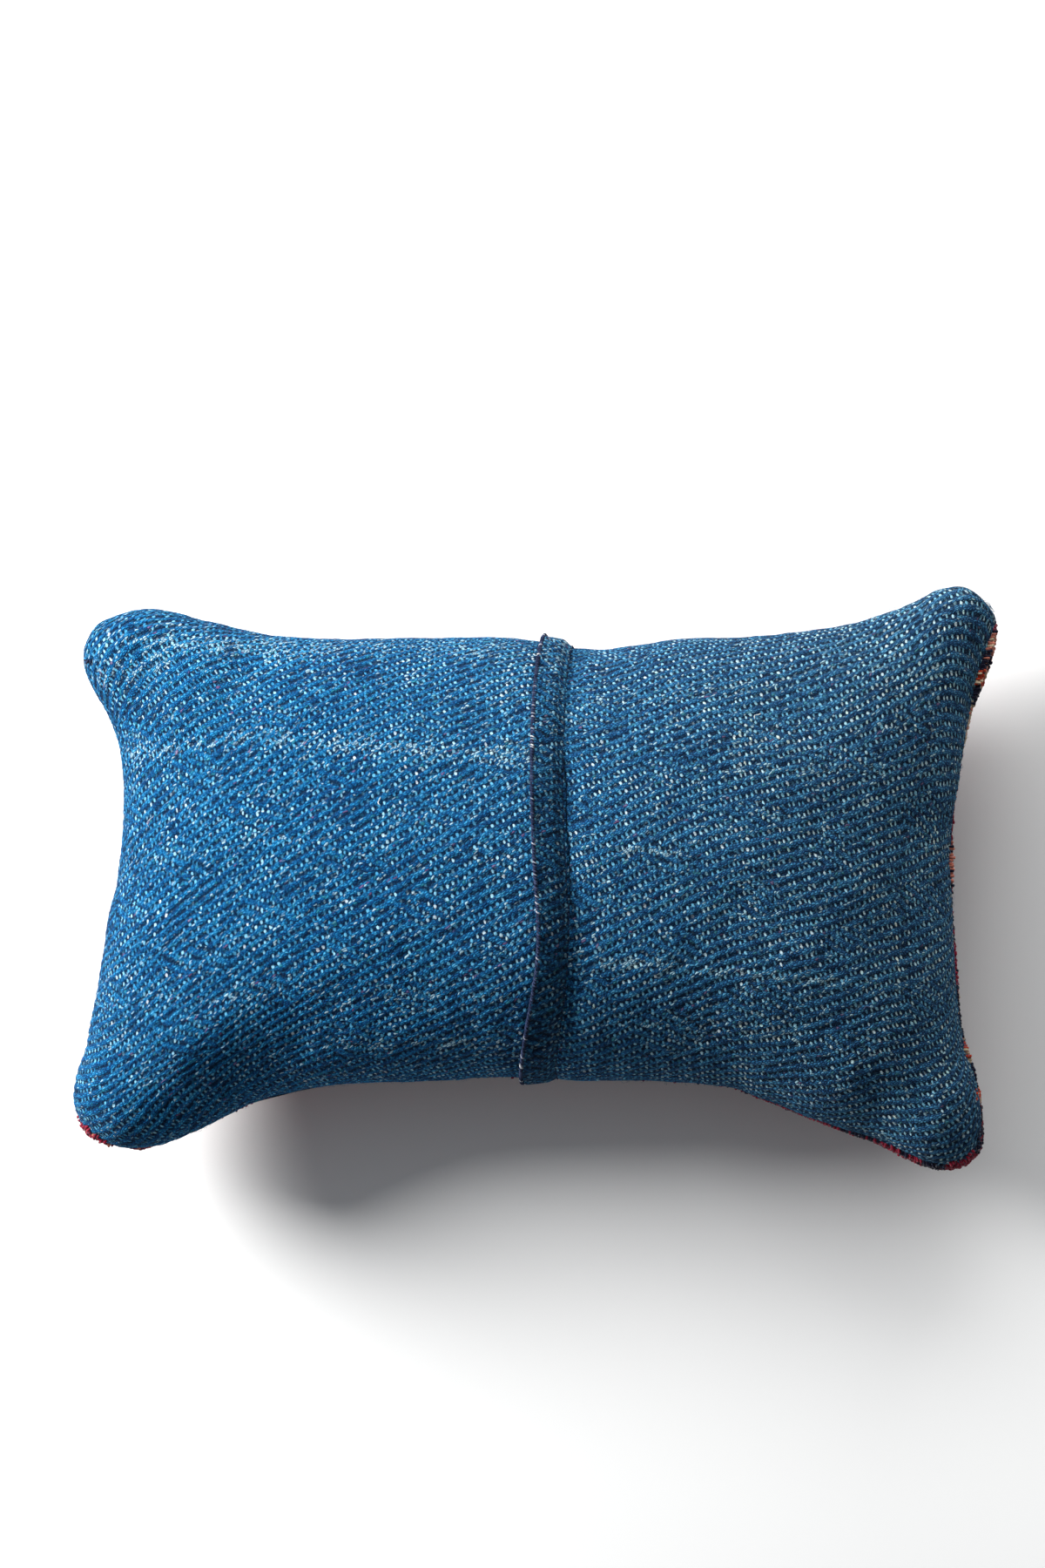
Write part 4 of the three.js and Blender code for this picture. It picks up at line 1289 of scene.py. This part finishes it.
def make_floor():
    n = Nodes("pale_floor")
    place = n.add("ShaderNodeTexCoord").outputs["Object"]
    colour = n.ramp(n.noise(place, 1.5, 2.0), [(0.3, (0.85, 0.86, 0.87)), (0.7, (0.89, 0.90, 0.91))])
    material = n.finish(colour, 0.85, 0.0)
    half = 6000.0
    corners = np.array([(-half, -half, 0), (half, -half, 0), (half, half, 0), (-half, half, 0)])
    floor = new_object("floor", corners, [[0, 1, 2, 3]], material, smooth=False)


def area_light(name, place, target, size, power, colour):
    data = bpy.data.lights.new(name, "AREA")
    data.shape = "DISK"
    data.size = size
    data.energy = power
    data.color = colour
    lamp = bpy.data.objects.new(name, data)
    lamp.location = place
    lamp.rotation_euler = (Vector(target) - Vector(place)).to_track_quat("-Z", "Y").to_euler()
    bpy.context.scene.collection.objects.link(lamp)


# Strength of the soft light all round, at the front and at the back
WORLD_FRONT = 0.12
WORLD_BACK = 0.36


def make_light():
    world = bpy.data.worlds.new("studio")
    world.use_nodes = True
    nodes, links = world.node_tree.nodes, world.node_tree.links
    background = nodes["Background"]
    background.inputs[0].default_value = (0.93, 0.96, 1.0, 1)
    split = nodes.new("ShaderNodeSeparateXYZ")
    links.new(nodes.new("ShaderNodeTexCoord").outputs["Generated"], split.inputs[0])
    brighter = nodes.new("ShaderNodeMapRange")
    brighter.inputs["From Min"].default_value = -1
    brighter.inputs["To Min"].default_value = WORLD_FRONT
    brighter.inputs["To Max"].default_value = WORLD_BACK
    links.new(split.outputs["Y"], brighter.inputs["Value"])
    links.new(brighter.outputs["Result"], background.inputs[1])
    bpy.context.scene.world = world
    bpy.context.scene.view_settings.view_transform = "Standard"
    area_light("key", (-1.72, 0.82, 1.05), (-0.05, 0, 0.08), 1.0, 104, (1.0, 0.985, 0.96))
    area_light("top", (0.15, 2.2, 1.15), (0, 0, 0.08), 1.8, 52, (1.0, 0.99, 0.96))


# The camera looks at the back from a little to the right and a little to the front
CAMERA_RIGHT = math.radians(7)
CAMERA_FRONT = math.radians(6)
CAMERA_DISTANCE = 1.412
CAMERA_LENS = 50.0
CAMERA_TARGET = (-0.0046, 0.061, 0.075)


def make_camera():
    data = bpy.data.cameras.new("camera")
    data.lens = CAMERA_LENS
    data.sensor_fit = "VERTICAL"
    data.sensor_height = 36.0
    towards = Vector((math.tan(CAMERA_RIGHT), -math.tan(CAMERA_FRONT), 1)).normalized()
    right = Vector((0, 1, 0)).cross(towards).normalized()
    up = towards.cross(right)
    turn = Matrix((right, up, towards)).transposed().to_4x4()
    camera = bpy.data.objects.new("camera", data)
    camera.matrix_world = Matrix.Translation(Vector(CAMERA_TARGET) + towards * CAMERA_DISTANCE) @ turn
    bpy.context.scene.collection.objects.link(camera)
    bpy.context.scene.camera = camera


make_floor()
make_light()
make_camera()

bpy.context.view_layer.update()
